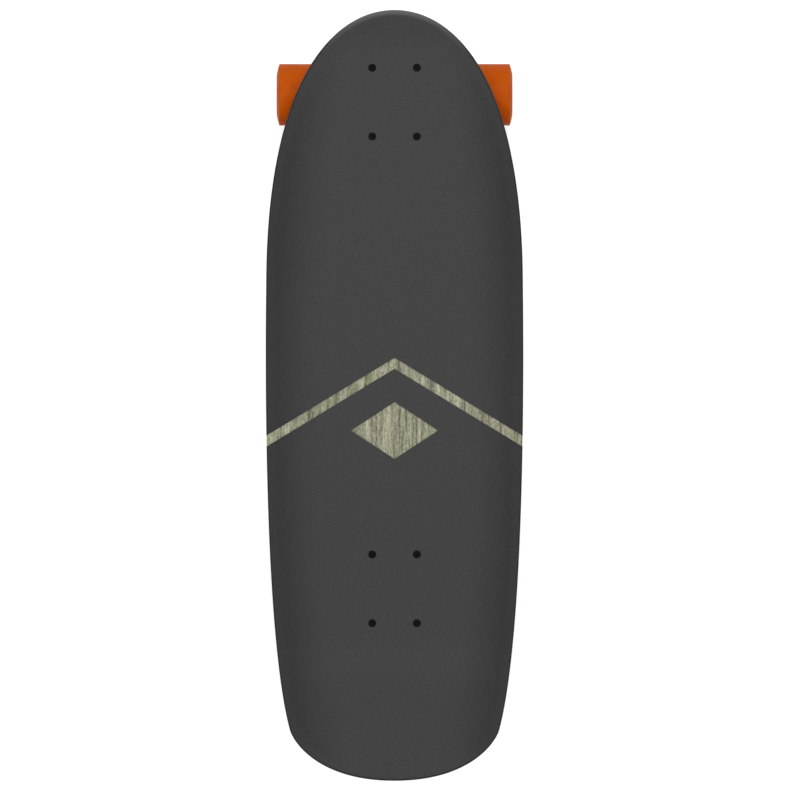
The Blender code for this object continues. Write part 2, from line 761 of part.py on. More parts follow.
def make_hanger_mesh():
    """A cast hanger: bushing ring, yoke, pivot nose and axle beam, cut for the bushings and the axle."""
    half = HANGER_WIDTH / 2
    yoke_half = YOKE_WIDTH / 2
    ring_radius = RING_DIAMETER / 2
    ring_half = RING_WEB / 2 + RING_LIP
    beam = turned(
        "hanger",
        [
            (0, half),
            (BEAM_END_RADIUS - BEAM_CHAMFER, half),
            (BEAM_END_RADIUS, half - BEAM_CHAMFER),
            (BEAM_RADIUS, yoke_half),
            (BEAM_RADIUS, -yoke_half),
            (BEAM_END_RADIUS, BEAM_CHAMFER - half),
            (BEAM_END_RADIUS - BEAM_CHAMFER, -half),
            (0, -half),
        ],
        BOSS_FACETS,
        AXLE_FRAME,
    )
    inner = BEAM_RADIUS - SINK
    yoke = hull(
        "yoke",
        circle(ring_radius, ring_half, RING_FACETS, KINGPIN_FRAME),
        circle(ring_radius, -ring_half, RING_FACETS, KINGPIN_FRAME),
        circle(inner, yoke_half, BOSS_FACETS, AXLE_FRAME),
        circle(inner, -yoke_half, BOSS_FACETS, AXLE_FRAME),
    )
    elbow_half = ELBOW_WIDTH / 2
    arm = hull(
        "arm",
        circle(ELBOW_RADIUS, elbow_half, BOSS_FACETS, ELBOW_FRAME),
        circle(ELBOW_RADIUS, -elbow_half, BOSS_FACETS, ELBOW_FRAME),
        circle(inner - SINK, ARM_WIDTH / 2, BOSS_FACETS, AXLE_FRAME),
        circle(inner - SINK, -ARM_WIDTH / 2, BOSS_FACETS, AXLE_FRAME),
    )
    shoulder = -PIVOT_SHOULDER
    wrist = hull(
        "wrist",
        circle(ELBOW_RADIUS - SINK, elbow_half - SINK, BOSS_FACETS, ELBOW_FRAME),
        circle(ELBOW_RADIUS - SINK, SINK - elbow_half, BOSS_FACETS, ELBOW_FRAME),
        circle(PIVOT_SHOULDER_RADIUS, shoulder, BOSS_FACETS, STEERING_FRAME),
    )
    nose = make_nose(shoulder)
    seat = BUSHING_DIAMETER / 2 + BUSHING_CLEARANCE
    web = RING_WEB / 2
    top = BOSS_SEAT + CUTTER_REACH
    bottom = KINGPIN_END - CUTTER_REACH
    road_seat = [(0, -web), (seat, -web), (seat + SEAT_FLARE, bottom), (0, bottom)]
    ring_hole = RING_HOLE_DIAMETER / 2
    bore = AXLE_DIAMETER / 2 + SEAT_GAP
    past_beam = half + CUTTER_REACH
    cuts = [
        cylinder("board_seat", seat, web, top, RING_FACETS, KINGPIN_FRAME),
        turned("road_seat", road_seat, RING_FACETS, KINGPIN_FRAME),
        cylinder("ring_hole", ring_hole, bottom, top, RING_FACETS, KINGPIN_FRAME),
        cylinder("axle_bore", bore, -past_beam, past_beam, BOLT_FACETS, AXLE_FRAME),
    ]
    return machined(beam, joined=(yoke, arm, wrist, nose), cut=cuts, origin=RING_PLACE)


def make_axle_mesh():
    end = AXLE_LENGTH / 2
    radius = AXLE_DIAMETER / 2
    profile = [
        (0, end),
        (radius - NUT_CHAMFER, end),
        (radius, end - NUT_CHAMFER),
        (radius, NUT_CHAMFER - end),
        (radius - NUT_CHAMFER, -end),
        (0, -end),
    ]
    return frozen(turned("axle", profile, BOLT_FACETS, AXLE_FRAME), RING_PLACE)


# Wheels, modelled round Z and laid along the axle


def make_wheel_mesh():
    """A urethane wheel with rounded side walls, square tread corners and two bearing seats.

    The flats of its faceted tread lie on the true diameter, and one of them lies on the ground.
    """
    half_facet = pi / WHEEL_FACETS
    tread = WHEEL_DIAMETER / 2 / cos(half_facet)
    side = WHEEL_WIDTH / 2
    seat = BEARING_OUTER_DIAMETER / 2 + SEAT_GAP
    mouth = SPACER_LENGTH / 2 + BEARING_WIDTH + SEAT_GAP
    step = SPACER_LENGTH / 2 - SEAT_GAP
    outside = [
        (WHEEL_LIP_INNER_RADIUS, side),
        (WHEEL_LIP_OUTER_RADIUS, side),
        (WHEEL_SHOULDER_RADIUS, side - WHEEL_SHOULDER_DROP),
        (tread, side - WHEEL_EDGE_DROP),
    ]
    inside = [(seat, -mouth), (seat, -step), (WHEEL_CORE_BORE / 2, -step)]
    profile = outside + [(radius, -height) for radius, height in reversed(outside)]
    profile += inside + [(radius, -height) for radius, height in reversed(inside)]
    wheel = turned_ring("wheel", profile, WHEEL_FACETS, Matrix.Rotation(half_facet, 4, "Z"))
    return frozen(wheel)


def make_bearing_mesh():
    """The outer race with its two shields."""
    outer = BEARING_OUTER_DIAMETER / 2
    side = BEARING_WIDTH / 2
    race = outer - BEARING_RACE_DEPTH
    bore = INNER_RACE_DIAMETER / 2 + SEAT_GAP
    shield = side - SHIELD_RECESS
    profile = [
        (outer, side),
        (outer, -side),
        (race, -side),
        (bore, -shield),
        (bore, shield),
        (race, side),
    ]
    return frozen(turned_ring("bearing", profile, BEARING_FACETS))


def make_sleeve_mesh():
    """What the axle nut clamps and the wheel turns on: two inner races, a spacer and two washers."""
    washer = SPEED_WASHER_DIAMETER / 2
    race = INNER_RACE_DIAMETER / 2
    bore = BEARING_BORE / 2
    end = STACK_LENGTH / 2
    step = end - SPEED_WASHER_THICKNESS
    half = [(washer, end), (washer, step), (race, step)]
    profile = half + [(radius, -height) for radius, height in reversed(half)]
    profile += [(bore, -end), (bore, end)]
    return frozen(turned_ring("sleeve", profile, BOLT_FACETS))


def make_bolt_mesh():
    """A countersunk machine screw with a hexagon socket. Its head's top face is at the origin."""
    head = BOLT_HEAD_DIAMETER / 2
    shank = BOLT_DIAMETER / 2
    profile = [
        (0, 0),
        (head, 0),
        (head, -BOLT_HEAD_RIM),
        (shank, -BOLT_HEAD_RIM - (head - shank)),
        (shank, -BOLT_LENGTH),
        (0, -BOLT_LENGTH),
    ]
    body = turned("deck_bolt", profile, BOLT_FACETS)
    socket = prism("socket", BOLT_SOCKET_FLATS, -BOLT_SOCKET_DEPTH, CUTTER_REACH)
    return machined(body, cut=(socket,))


# Assembly


def add_wheel(corner, lean, side, meshes):
    """One wheel with its bearings and sleeve, on its own spin axis."""
    place_y = AXLE_OFFSET - RING_CENTRE_Y
    place_z = -TRUCK_HEIGHT - RING_CENTRE_Z
    spot = (side * WHEEL_X, place_y, place_z)
    across = (0, side * pi / 2, 0)
    spin = place_empty(corner + "_spin_axis", lean, spot, across)
    place(corner + "_wheel", meshes["wheel"], URETHANE, spin)
    offset = (SPACER_LENGTH + BEARING_WIDTH) / 2
    place(corner + "_outboard_bearing", meshes["bearing"], BEARING_STEEL, spin, (0, 0, offset))
    place(corner + "_inboard_bearing", meshes["bearing"], BEARING_STEEL, spin, (0, 0, -offset))
    place(corner + "_races_and_spacer", meshes["sleeve"], BEARING_STEEL, lean, spot, across)
    nut_x = side * (WHEEL_X + STACK_LENGTH / 2 + SEAT_GAP)
    place(corner + "_axle_nut", meshes["axle_nut"], ZINC, lean, (nut_x, place_y, place_z), across)


def add_truck(end, centre_y, turn, meshes):
    """One whole truck with its wheels and deck bolts."""
    truck = place_empty(end + "_truck", None, (0, centre_y, MOUNT_Z), (0, 0, turn))
    fixed = (
        ("baseplate", ALUMINIUM),
        ("pivot_cup", BLACK_URETHANE),
        ("kingpin", ZINC),
        ("kingpin_nut", ZINC),
        ("board_bushing", BLACK_URETHANE),
        ("road_bushing", BLACK_URETHANE),
        ("board_washer", ZINC),
        ("road_washer", ZINC),
    )
    for name, material in fixed:
        place(f"{end}_{name}", meshes[name], material, truck)
    head_z = DECK_TOP_Z + BOLT_HEAD_SINK - MOUNT_Z
    nut_z = -PLATE_THICKNESS - SEAT_GAP - DECK_NUT_HEIGHT
    for number, (x, y) in enumerate(bolt_places(), 1):
        place(f"{end}_deck_bolt_{number}", meshes["deck_bolt"], BLACK_OXIDE, truck, (x, y, head_z))
        place(f"{end}_deck_nut_{number}", meshes["deck_nut"], ZINC, truck, (x, y, nut_z))
    lean = place_empty(end + "_lean_axis", truck, RING_PLACE)
    place(end + "_hanger", meshes["hanger"], ALUMINIUM, lean)
    place(end + "_axle", meshes["axle"], ZINC, lean)
    for side in (-1, 1):
        on_left = side * cos(turn) < 0
        add_wheel(f"{end}_{'left' if on_left else 'right'}", lean, side, meshes)


def make_meshes():
    """Every shape that the two trucks share."""
    kingpin_bore = KINGPIN_DIAMETER / 2 + SEAT_GAP
    board_face = BOARD_WASHER_FOOT + WASHER_THICKNESS
    road_face = ROAD_WASHER_TOP - WASHER_THICKNESS
    nut_low = KINGPIN_NUT_TOP - KINGPIN_NUT_HEIGHT
    return {
        "baseplate": make_baseplate_mesh(),
        "pivot_cup": make_pivot_cup_mesh(),
        "kingpin": make_kingpin_mesh(),
        "kingpin_nut": make_nut_mesh(
            "kingpin_nut", KINGPIN_NUT_FLATS, KINGPIN_NUT_HEIGHT, kingpin_bore, KINGPIN_FRAME, nut_low
        ),
        "board_bushing": make_board_bushing_mesh(),
        "road_bushing": make_road_bushing_mesh(),
        "board_washer": make_washer_mesh("board_washer", BOARD_WASHER_DIAMETER, board_face, -1),
        "road_washer": make_washer_mesh("road_washer", ROAD_WASHER_DIAMETER, road_face, 1),
        "hanger": make_hanger_mesh(),
        "axle": make_axle_mesh(),
        "axle_nut": make_nut_mesh(
            "axle_nut", AXLE_NUT_FLATS, AXLE_NUT_HEIGHT, AXLE_DIAMETER / 2 + SEAT_GAP
        ),
        "wheel": make_wheel_mesh(),
        "bearing": make_bearing_mesh(),
        "sleeve": make_sleeve_mesh(),
        "deck_bolt": make_bolt_mesh(),
        "deck_nut": make_nut_mesh(
            "deck_nut", DECK_NUT_FLATS, DECK_NUT_HEIGHT, BOLT_DIAMETER / 2 + SEAT_GAP
        ),
    }


def clear_scene():
    for item in list(bpy.data.objects):
        bpy.data.objects.remove(item)


clear_scene()
BOARD = new_collection("cruiser_skateboard")
CUTTERS = new_collection("cutters")

MAPLE = new_material("maple_veneer", (146, 145, 126), 0.55)
GRIP = new_material("grip_tape", (70, 70, 70), 0.95)
URETHANE = new_material("orange_urethane", (190, 78, 15), 0.35)
BLACK_URETHANE = new_material("black_urethane", (24, 24, 25), 0.5)
ALUMINIUM = new_material("cast_aluminium", (190, 192, 195), 0.4, 1.0)
ZINC = new_material("zinc_plated_steel", (176, 178, 180), 0.3, 1.0)
BEARING_STEEL = new_material("bearing_steel", (160, 162, 165), 0.25, 1.0)
BLACK_OXIDE = new_material("black_oxide_steel", (18, 18, 18), 0.4, 0.6)

HOLES = bolt_cutter()
WINDOW = diamond_cutter()
make_deck(HOLES)
make_grip("grip_front", HOLES, ahead=True)
subtract(make_grip("grip_rear", HOLES, ahead=False), WINDOW)

SHARED = make_meshes()
add_truck("front", FRONT_PATTERN_Y, 0.0, SHARED)
add_truck("rear", REAR_PATTERN_Y, pi, SHARED)
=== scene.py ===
"""Cruiser skateboard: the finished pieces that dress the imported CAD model, and the stage they stand on.

Metres, +Z up, +Y towards the nose. Each truck is modelled in a frame of its own, whose origin is the
middle of the bolt pattern on the baseplate's mounting face and whose +Y points to its end of the deck.
"""

import json
from math import atan2, cos, pi, radians, sin, sqrt, tan, tau

import bmesh
import bpy
from bpy.props import FloatProperty, FloatVectorProperty, IntProperty, PointerProperty
from mathutils import Matrix, Vector
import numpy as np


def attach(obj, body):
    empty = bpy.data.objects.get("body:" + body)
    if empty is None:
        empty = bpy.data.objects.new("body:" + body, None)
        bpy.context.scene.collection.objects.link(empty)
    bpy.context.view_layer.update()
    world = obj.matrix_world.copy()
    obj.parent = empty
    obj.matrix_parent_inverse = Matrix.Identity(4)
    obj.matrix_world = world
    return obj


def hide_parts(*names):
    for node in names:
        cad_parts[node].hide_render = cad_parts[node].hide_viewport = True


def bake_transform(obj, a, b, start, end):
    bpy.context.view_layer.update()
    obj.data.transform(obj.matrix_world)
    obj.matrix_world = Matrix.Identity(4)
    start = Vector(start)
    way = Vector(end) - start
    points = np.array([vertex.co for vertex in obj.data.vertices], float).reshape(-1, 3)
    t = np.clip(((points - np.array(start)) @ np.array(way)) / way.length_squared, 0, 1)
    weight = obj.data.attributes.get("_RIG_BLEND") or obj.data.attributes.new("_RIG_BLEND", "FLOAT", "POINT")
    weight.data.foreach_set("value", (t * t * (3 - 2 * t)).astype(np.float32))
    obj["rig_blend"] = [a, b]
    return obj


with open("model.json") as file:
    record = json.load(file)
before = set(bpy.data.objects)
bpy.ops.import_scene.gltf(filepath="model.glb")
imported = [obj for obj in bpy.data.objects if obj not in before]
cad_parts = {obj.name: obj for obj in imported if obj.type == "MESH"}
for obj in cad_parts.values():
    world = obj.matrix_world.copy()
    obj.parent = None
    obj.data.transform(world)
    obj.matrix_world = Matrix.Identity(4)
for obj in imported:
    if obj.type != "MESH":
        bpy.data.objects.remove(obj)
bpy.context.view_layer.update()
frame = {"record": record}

bl_info = {
    "name": "Cruiser skateboard",
    "version": (1, 0, 0),
    "blender": (4, 5, 0),
    "location": "View3D > Sidebar > Skateboard",
    "description": "Builds the finished pieces of a cruiser skateboard round its CAD model",
    "category": "Object",
}

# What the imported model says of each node
BODIES = frame["record"]["behaviour"]["bodies"]
BODY_OF_NODE = {node: body for body, nodes in BODIES.items() for node in nodes}
SLOT_OF_NODE = {part["node"]: part["material_slot"] for part in frame["record"]["subparts"]}

# Deck blank, seen from above
DECK_LENGTH = 0.7112
DECK_WIDTH = 0.2369
SHOULDER_Y = 0.1009
NOSE_ROUNDING = 0.0559
NOSE_SWEEP = 0.1916
SIDE_SWEEP = 0.0129
TAIL_SWEEP = 0.1019
TAIL_TAPER = 0.0222
TAIL_CORNER_RISE = 0.0459
TAIL_CORNER_ANGLE = radians(15.5)
TAIL_CORNER_ROUNDING = 0.0065
TAIL_ROUNDING = 0.0745

# Deck pressing
FLAT_WIDTH = 0.1200
FLAT_WIDTH_AT_ENDS = 0.0680
CONCAVE_RADIUS = 0.2100
KICK_LENGTH = 0.1336
KICK_ANGLE = radians(18)
KICK_RADIUS = 0.1700
NOSE_LIFT_LENGTH = 0.0430
NOSE_LIFT_ANGLE = radians(9)
NOSE_LIFT_RADIUS = 0.1500

# Grip: its cut-outs, how far round the deck's upper edge it reaches, and where the nose's rim is painted
# pale, a painted highlight
STRIPE_APEX_Y = 0.0294
STRIPE_SLOPE = radians(31.3)
DIAMOND_WIDTH = 0.0804
DIAMOND_LENGTH = 0.0526
DIAMOND_Y = -0.0327
GRIP_WRAP = radians(67.5)
GRIP_HOLE_PLAY = 0.00005
NOSE_HIGHLIGHT_FROM_Y = 0.315
NOSE_HIGHLIGHT_TO_Y = 0.352

# Heights and places
SEAT_GAP = 0.0003
TRUCK_HEIGHT = 0.0530
MOUNT_Z = 0.0815
DECK_TOP_Z = 0.0928
FRONT_PATTERN_Y = 0.2706
REAR_PATTERN_Y = -0.17895
BOLT_PATTERN_LENGTH = 0.0635
BOLT_PATTERN_WIDTH = 0.041275

# Baseplate
PLATE_LENGTH = 0.0820
PLATE_WIDTH = 0.0560
PLATE_THICKNESS = 0.0060
PLATE_CORNER_RADIUS = 0.0090
PLATE_DRAFT = 0.0012
WAIST_DEPTH = 0.0050
WAIST_RADIUS = 0.0400
BOSS_RADIUS = 0.0138
BOSS_FOOT_RADIUS = 0.0165
HOUSING_RADIUS = 0.0112
HOUSING_FOOT_RADIUS = 0.0130
HOUSING_FOOT_END = 0.0385
HOUSING_FOOT_TAPER = 0.0020
PLATE_STOCK = 0.0020

# Kingpin and its stack
KINGPIN_TILT = radians(22)
KINGPIN_RADIUS = 0.00475
KINGPIN_HEAD_RADIUS = 0.0075
KINGPIN_HEAD_HEIGHT = 0.0060
KINGPIN_HEAD_ROUNDING = 0.0008
KINGPIN_HEAD_FLOOR = 0.0048
KINGPIN_TAIL = 0.0018
KINGPIN_TIP_TAPER = 0.0009
KINGPIN_PITCH = 0.00106
KINGPIN_THREAD_DEPTH = 0.0005
BUSHING_RADIUS = 0.0125
BUSHING_ROUNDING = 0.0012
BUSHING_ROWS = 6
BOARD_BUSHING_HEIGHT = 0.0130
ROAD_BUSHING_HEIGHT = 0.0105
ROAD_BUSHING_TIP_RADIUS = 0.0082
WASHER_THICKNESS = 0.0015
WASHER_ROUNDING = 0.0009
WASHER_LIP = 0.0012
WASHER_LIP_WALL = 0.0008
BOARD_WASHER_RADIUS = 0.0135
ROAD_WASHER_RADIUS = 0.0100
KINGPIN_NUT_FLATS = 0.0143
KINGPIN_NUT_HEIGHT = 0.0100

# Hanger
RING_CENTRE_Y = -0.0080
RING_CENTRE_Z = -0.0325
RING_WEB = 0.0075
RING_LIP = 0.0020
RING_RADIUS = 0.0164
RING_HOLE_RADIUS = 0.00725
SEAT_FLARE = 0.0009
AXLE_OFFSET = 0.0077
HANGER_WIDTH = 0.1486
BEAM_RADIUS = 0.0096
BEAM_END_RADIUS = 0.0083
YOKE_WIDTH = 0.0740
ARM_WIDTH = 0.0460
ELBOW_Y = 0.0170
ELBOW_Z = -0.0305
ELBOW_RADIUS = 0.0065
ELBOW_WIDTH = 0.0200
HANGER_STOCK = 0.0030

# Pivot
PIVOT_Y = 0.0260
PIVOT_Z = -0.0125
PIVOT_BALL_RADIUS = 0.0052
PIVOT_NECK_RADIUS = 0.0047
PIVOT_NECK_START = 0.0028
PIVOT_NECK_ROUNDING = 0.0010
PIVOT_SHOULDER_RADIUS = 0.0064
PIVOT_SHOULDER = 0.0058
CUP_RADIUS = 0.0076
CUP_FLOOR = 0.0018
CUP_MOUTH = 0.0050
HOUSING_MOUTH = 0.0045
HOUSING_WALL = 0.0022

# Axle, bearings and wheels
AXLE_RADIUS = 0.00397
AXLE_LENGTH = 0.2159
AXLE_NUT_FLATS = 0.0127
AXLE_NUT_HEIGHT = 0.0065
BEARING_RADIUS = 0.0110
BEARING_WIDTH = 0.0070
BEARING_RACE_DEPTH = 0.0014
BEARING_FIT = 0.00003
INNER_RACE_RADIUS = 0.0053
INNER_RACE_BORE = 0.0043
SEAL_RECESS = 0.0005
SEAL_THICKNESS = 0.0008
SEAL_PLAY = 0.0001
SEAL_RIM = 0.0007
SEAL_RIM_SLOPE = 0.0002
SEAL_LIP = 0.0009
SEAL_DISH = 0.0003
SPACER_LENGTH = 0.0100
SPACER_STEP = 0.0004
SPEED_WASHER_RADIUS = 0.0062
SPEED_WASHER_THICKNESS = 0.0010
WHEEL_SIDE = 0.0216
WHEEL_LIP_OUTER_RADIUS = 0.0185
WHEEL_LIP_INNER_RADIUS = 0.0145
WHEEL_SHOULDER_RADIUS = 0.0238
WHEEL_SHOULDER_DROP = 0.0009
WHEEL_SHOULDER_ROUNDING = 0.0038
WHEEL_EDGE_DROP = 0.0025
WHEEL_CORE_BORE_RADIUS = 0.0092

# Deck bolts and their nuts
BOLT_RADIUS = 0.0024
BOLT_LENGTH = 0.0254
BOLT_PITCH = 0.0008
BOLT_THREAD_DEPTH = 0.0003
BOLT_THREAD_LENGTH = 0.0120
BOLT_TIP_TAPER = 0.0005
BOLT_HEAD_RADIUS = 0.0037
BOLT_HEAD_RIM = 0.0006
BOLT_HEAD_SINK = 0.0006
BOLT_SOCKET_FLATS = 0.0030
BOLT_SOCKET_DEPTH = 0.0015
BOLT_CLEARANCE = 0.0004
BOLT_TWIST = radians(23)
DECK_NUT_FLATS = 0.0095
DECK_NUT_HEIGHT = 0.0060

# Lock nuts. The chamfer is a share of how far the hexagon's corners stand past its flats.
NUT_CHAMFER_REACH = 1.55
NUT_CHAMFER_DROP = 1.15
NUT_HEXAGON_SHARE = 0.68
NUT_COLLAR_SHARE = 0.93
NUT_COLLAR_OVERLAP = 0.0004
NUT_DOME_WIDTH = 0.0009
NUT_DOME_DROP = 0.0010
NUT_RING_SHARE = 0.55
NUT_RING_DEPTH = 0.0018
NUT_RING_SINK = 0.0005
NUT_RING_PLAY = 0.00002
NUT_RING_BITE = 0.0001

# Roundings of turned corners
HAIR_EDGE = 0.0001
FINE_EDGE = 0.0002
EASED_EDGE = 0.0003
SOFT_EDGE = 0.0004
ROUND_EDGE = 0.0006

# Stage
FLOOR_RADIUS = 40.0
SHADOW_REACH = 0.6
WHITE_REACH = 1.4
WALL_RISE = 0.1
CEILING_RISE = 0.6
KEY_WIDTH = 0.6
KEY_LENGTH = 4.4
KEY_PLACE = (0, 1.1, 2.2)
PAPER = "#bcbcbc"
PAPER_GLOW = 0.76

# Building
OUTLINE_STEP = 0.003
CURVE_SAMPLES = 400
SLOPE_STEP = 0.0005
DECK_COLUMNS = 40
CAST_STEPS = 96
TURN_STEPS = 64
SMALL_TURN_STEPS = 32
WHEEL_STEPS = 128
WAIST_STEPS = 256
BALL_STEPS = 6
CORNER_SEGMENTS = 4
CUTTER_REACH = 0.0100
MERGE_DISTANCE = 0.000001
SHARP_ANGLE = radians(35)

# What most of a noise pattern lies between
NOISE_LOW = 0.3
NOISE_HIGH = 0.7

# Sockets of a Mix node, for numbers and for colours
SHARE, NUMBER_UNDER, NUMBER_OVER, COLOUR_UNDER, COLOUR_OVER, MIXED_COLOUR = 0, 2, 3, 6, 7, 2

# Worked out from the above
STACK_LENGTH = 2 * (SPEED_WASHER_THICKNESS + BEARING_WIDTH) + SPACER_LENGTH
WHEEL_X = HANGER_WIDTH / 2 + SEAT_GAP + STACK_LENGTH / 2
STEERING_RISE = atan2(PIVOT_Z - RING_CENTRE_Z, PIVOT_Y - RING_CENTRE_Y)
BOARD_BUSHING_FOOT = RING_WEB / 2 + SEAT_GAP
BOARD_WASHER_FOOT = BOARD_BUSHING_FOOT + BOARD_BUSHING_HEIGHT + SEAT_GAP
BOSS_SEAT = BOARD_WASHER_FOOT + WASHER_THICKNESS + SEAT_GAP
KINGPIN_HEAD_FOOT = BOSS_SEAT + KINGPIN_HEAD_FLOOR
ROAD_BUSHING_TOP = -RING_WEB / 2 - SEAT_GAP
ROAD_WASHER_TOP = ROAD_BUSHING_TOP - ROAD_BUSHING_HEIGHT - SEAT_GAP
KINGPIN_NUT_TOP = ROAD_WASHER_TOP - WASHER_THICKNESS - SEAT_GAP
KINGPIN_END = KINGPIN_NUT_TOP - KINGPIN_NUT_HEIGHT - KINGPIN_TAIL


def moved(x, y, z):
    return Matrix.Translation((x, y, z))


def frame_at(y, z, tilt):
    """A frame in the truck's middle plane, whose Z axis leans from upright towards +Y by a tilt."""
    return moved(0, y, z) @ Matrix.Rotation(-tilt, 4, "X")


AS_MODELLED = Matrix()
UPSIDE_DOWN = Matrix.Rotation(pi, 4, "X")
KINGPIN_FRAME = frame_at(RING_CENTRE_Y, RING_CENTRE_Z, KINGPIN_TILT)
STEERING_FRAME = frame_at(PIVOT_Y, PIVOT_Z, pi / 2 - STEERING_RISE)
AXLE_FRAME = moved(0, AXLE_OFFSET, -TRUCK_HEIGHT) @ Matrix.Rotation(pi / 2, 4, "Y")
ELBOW_FRAME = moved(0, ELBOW_Y, ELBOW_Z) @ Matrix.Rotation(pi / 2, 4, "Y")
TRUCK_FRAMES = {
    "front": moved(0, FRONT_PATTERN_Y, MOUNT_Z),
    "rear": moved(0, REAR_PATTERN_Y, MOUNT_Z) @ Matrix.Rotation(pi, 4, "Z"),
}


# Settings


def linear_colour(tone):
    """An sRGB hex colour as linear RGBA. Anything else comes back as it is."""
    if not isinstance(tone, str):
        return tone
    channels = [int(tone[start : start + 2], 16) / 255 for start in (1, 3, 5)]
    return (*((c / 12.92 if c <= 0.04045 else ((c + 0.055) / 1.055) ** 2.4) for c in channels), 1.0)


def tinted(colour, tint):
    """A linear colour seen through a tint."""
    return [channel * share for channel, share in zip(colour, linear_colour(tint))]


def colour(name, description, tone):
    kind = {"subtype": "COLOR", "size": 4, "min": 0, "max": 1, "default": linear_colour(tone)}
    return FloatVectorProperty(name=name, description=description, **kind)


def length(name, description, default):
    kind = {"unit": "LENGTH", "precision": 4, "default": default}
    return FloatProperty(name=name, description=description, **kind)


class DeckSettings(bpy.types.PropertyGroup):
    thickness: length("Thickness", "Of all the plies together", 0.0110)
    top_rounding: length("Top rounding", "Radius of the blank's upper edge", 0.0022)
    under_rounding: length("Under rounding", "Radius of the blank's lower edge", 0.0042)
    plies: IntProperty(name="Plies", description="Veneers in the press", default=7)
    glue_line: length("Glue line", "How wide the glue shows between two plies", 0.00012)
    maple: colour("Maple", "The plain veneers under lacquer", "#d3ad79")


class GripSettings(bpy.types.PropertyGroup):
    thickness: length("Thickness", "Of a sheet with its grit", 0.0009)
    filed_and_nose_highlight: length("Filed edge", "What the file leaves of the thickness at the rim", 0.0003)
    # The band also bounds the painted rim shade and the painted nose highlight.
    filed_and_painted_band: length("Filed band", "How far in from the flat's edge the file reaches", 0.0030)
    glue: length("Glue", "Between the sheet and the deck", 0.00004)
    stripe: length("Stripe", "Bare wood between the two sheets", 0.0087)
    grit: length("Grit", "Across one grain", 0.0004)
    grey: colour("Grit colour", "Silicon carbide in black resin", "#131313")
    # Painted shade: the grit is drawn darker round the rim.
    rim_shade_grey: colour("Rim colour", "Painted shade on the grit round the rim", "#060606")
    # Painted highlight: the grit is drawn paler on the nose's rim, where light from ahead catches the
    # rounded edge.
    nose_highlight_grey: colour("Nose highlight", "Painted highlight on the nose's rim", "#636363")


class TruckSettings(bpy.types.PropertyGroup):
    voxel: length("Casting detail", "Size of the grid that the castings are blended on", 0.0008)
    fillets: IntProperty(
        name="Fillets", description="Rounds of smoothing where a casting's shapes meet", default=16
    )
    aluminium: colour("Aluminium", "Tumbled casting", "#b9bbbe")
    zinc: colour("Zinc", "Bright plating on the kingpins, axles and nuts", "#b4b8bd")
    rubber: colour("Bushings", "Black urethane", "#1b1b1c")


class WheelSettings(bpy.types.PropertyGroup):
    diameter: length("Diameter", "Of the tread", 0.0570)
    corner: length("Tread corner", "Rounding where the tread meets the side wall", 0.0006)
    lip: length("Lip rounding", "Rounding of the ring round the bearing's recess", 0.0010)
    urethane: colour("Urethane", "Poured wheel", "#bf5506")
    seal: colour("Seal", "Bearing seals", "#202123")


class StageSettings(bpy.types.PropertyGroup):
    camera_height: length("Camera height", "Above the deck's flat", 20.0)
    frame_width: length("Frame width", "What the camera sees at the deck's flat", 0.7279)
    centre_x: length("Frame centre across", "The point over which the camera stands", -0.0005)
    centre_y: length("Frame centre along", "The point over which the camera stands", 0.0010)
    floor: colour("Floor", "Pale studio floor", "#e6e6e6")
    key: FloatProperty(name="Key", description="Strip light above the board", default=58, unit="POWER")
    ceiling: FloatProperty(name="Ceiling", description="Light from straight above", default=0.3)
    walls: FloatProperty(name="Walls", description="Light from all round", default=0.75)


# Materials


def add_node(tree, kind, inputs=(), stops=(), **settings):
    """Add one node with its settings, its inputs and a ramp's stops.

    An input is a value, a hex colour or another node's output. A stop is a position and a colour.
    """
    node = tree.nodes.new("ShaderNode" + kind)
    for name, value in settings.items():
        setattr(node, name, value)
    for socket, value in dict(inputs).items():
        if isinstance(value, bpy.types.NodeSocket):
            tree.links.new(value, node.inputs[socket])
        else:
            node.inputs[socket].default_value = linear_colour(value)
    for index, (position, tone) in enumerate(stops):
        elements = node.color_ramp.elements
        element = elements[index] if index < 2 else elements.new(position)
        element.position = position
        element.color = linear_colour(tone)
    return node


def new_material(name, **values):
    """A material with its tree, its shader and the Object coordinates that its patterns read.

    The values are the shader's own, named as its sockets are, with _ for a space.
    """
    material = bpy.data.materials.new(name)
    material.use_nodes = True
    tree = material.node_tree
    shader = tree.nodes["Principled BSDF"]
    for socket, value in values.items():
        shader.inputs[socket.replace("_", " ")].default_value = linear_colour(value)
    place = add_node(tree, "TexCoord").outputs["Object"]
    return material, tree, shader, place


def grains(tree, place, size, detail=3.0, shift=0.0):
    """A cloudy pattern whose grains have one size, or a size along each of X, Y and Z, in metres."""
    sides = size if isinstance(size, tuple) else (size,) * 3
    scale = tuple(1 / side for side in sides)
    inputs = {"Vector": place, "Scale": scale, "Location": (shift,) * 3}
    scaled = add_node(tree, "Mapping", inputs).outputs[0]
    inputs = {"Vector": scaled, "Scale": 1.0, "Detail": detail}
    return add_node(tree, "TexNoise", inputs).outputs["Fac"]


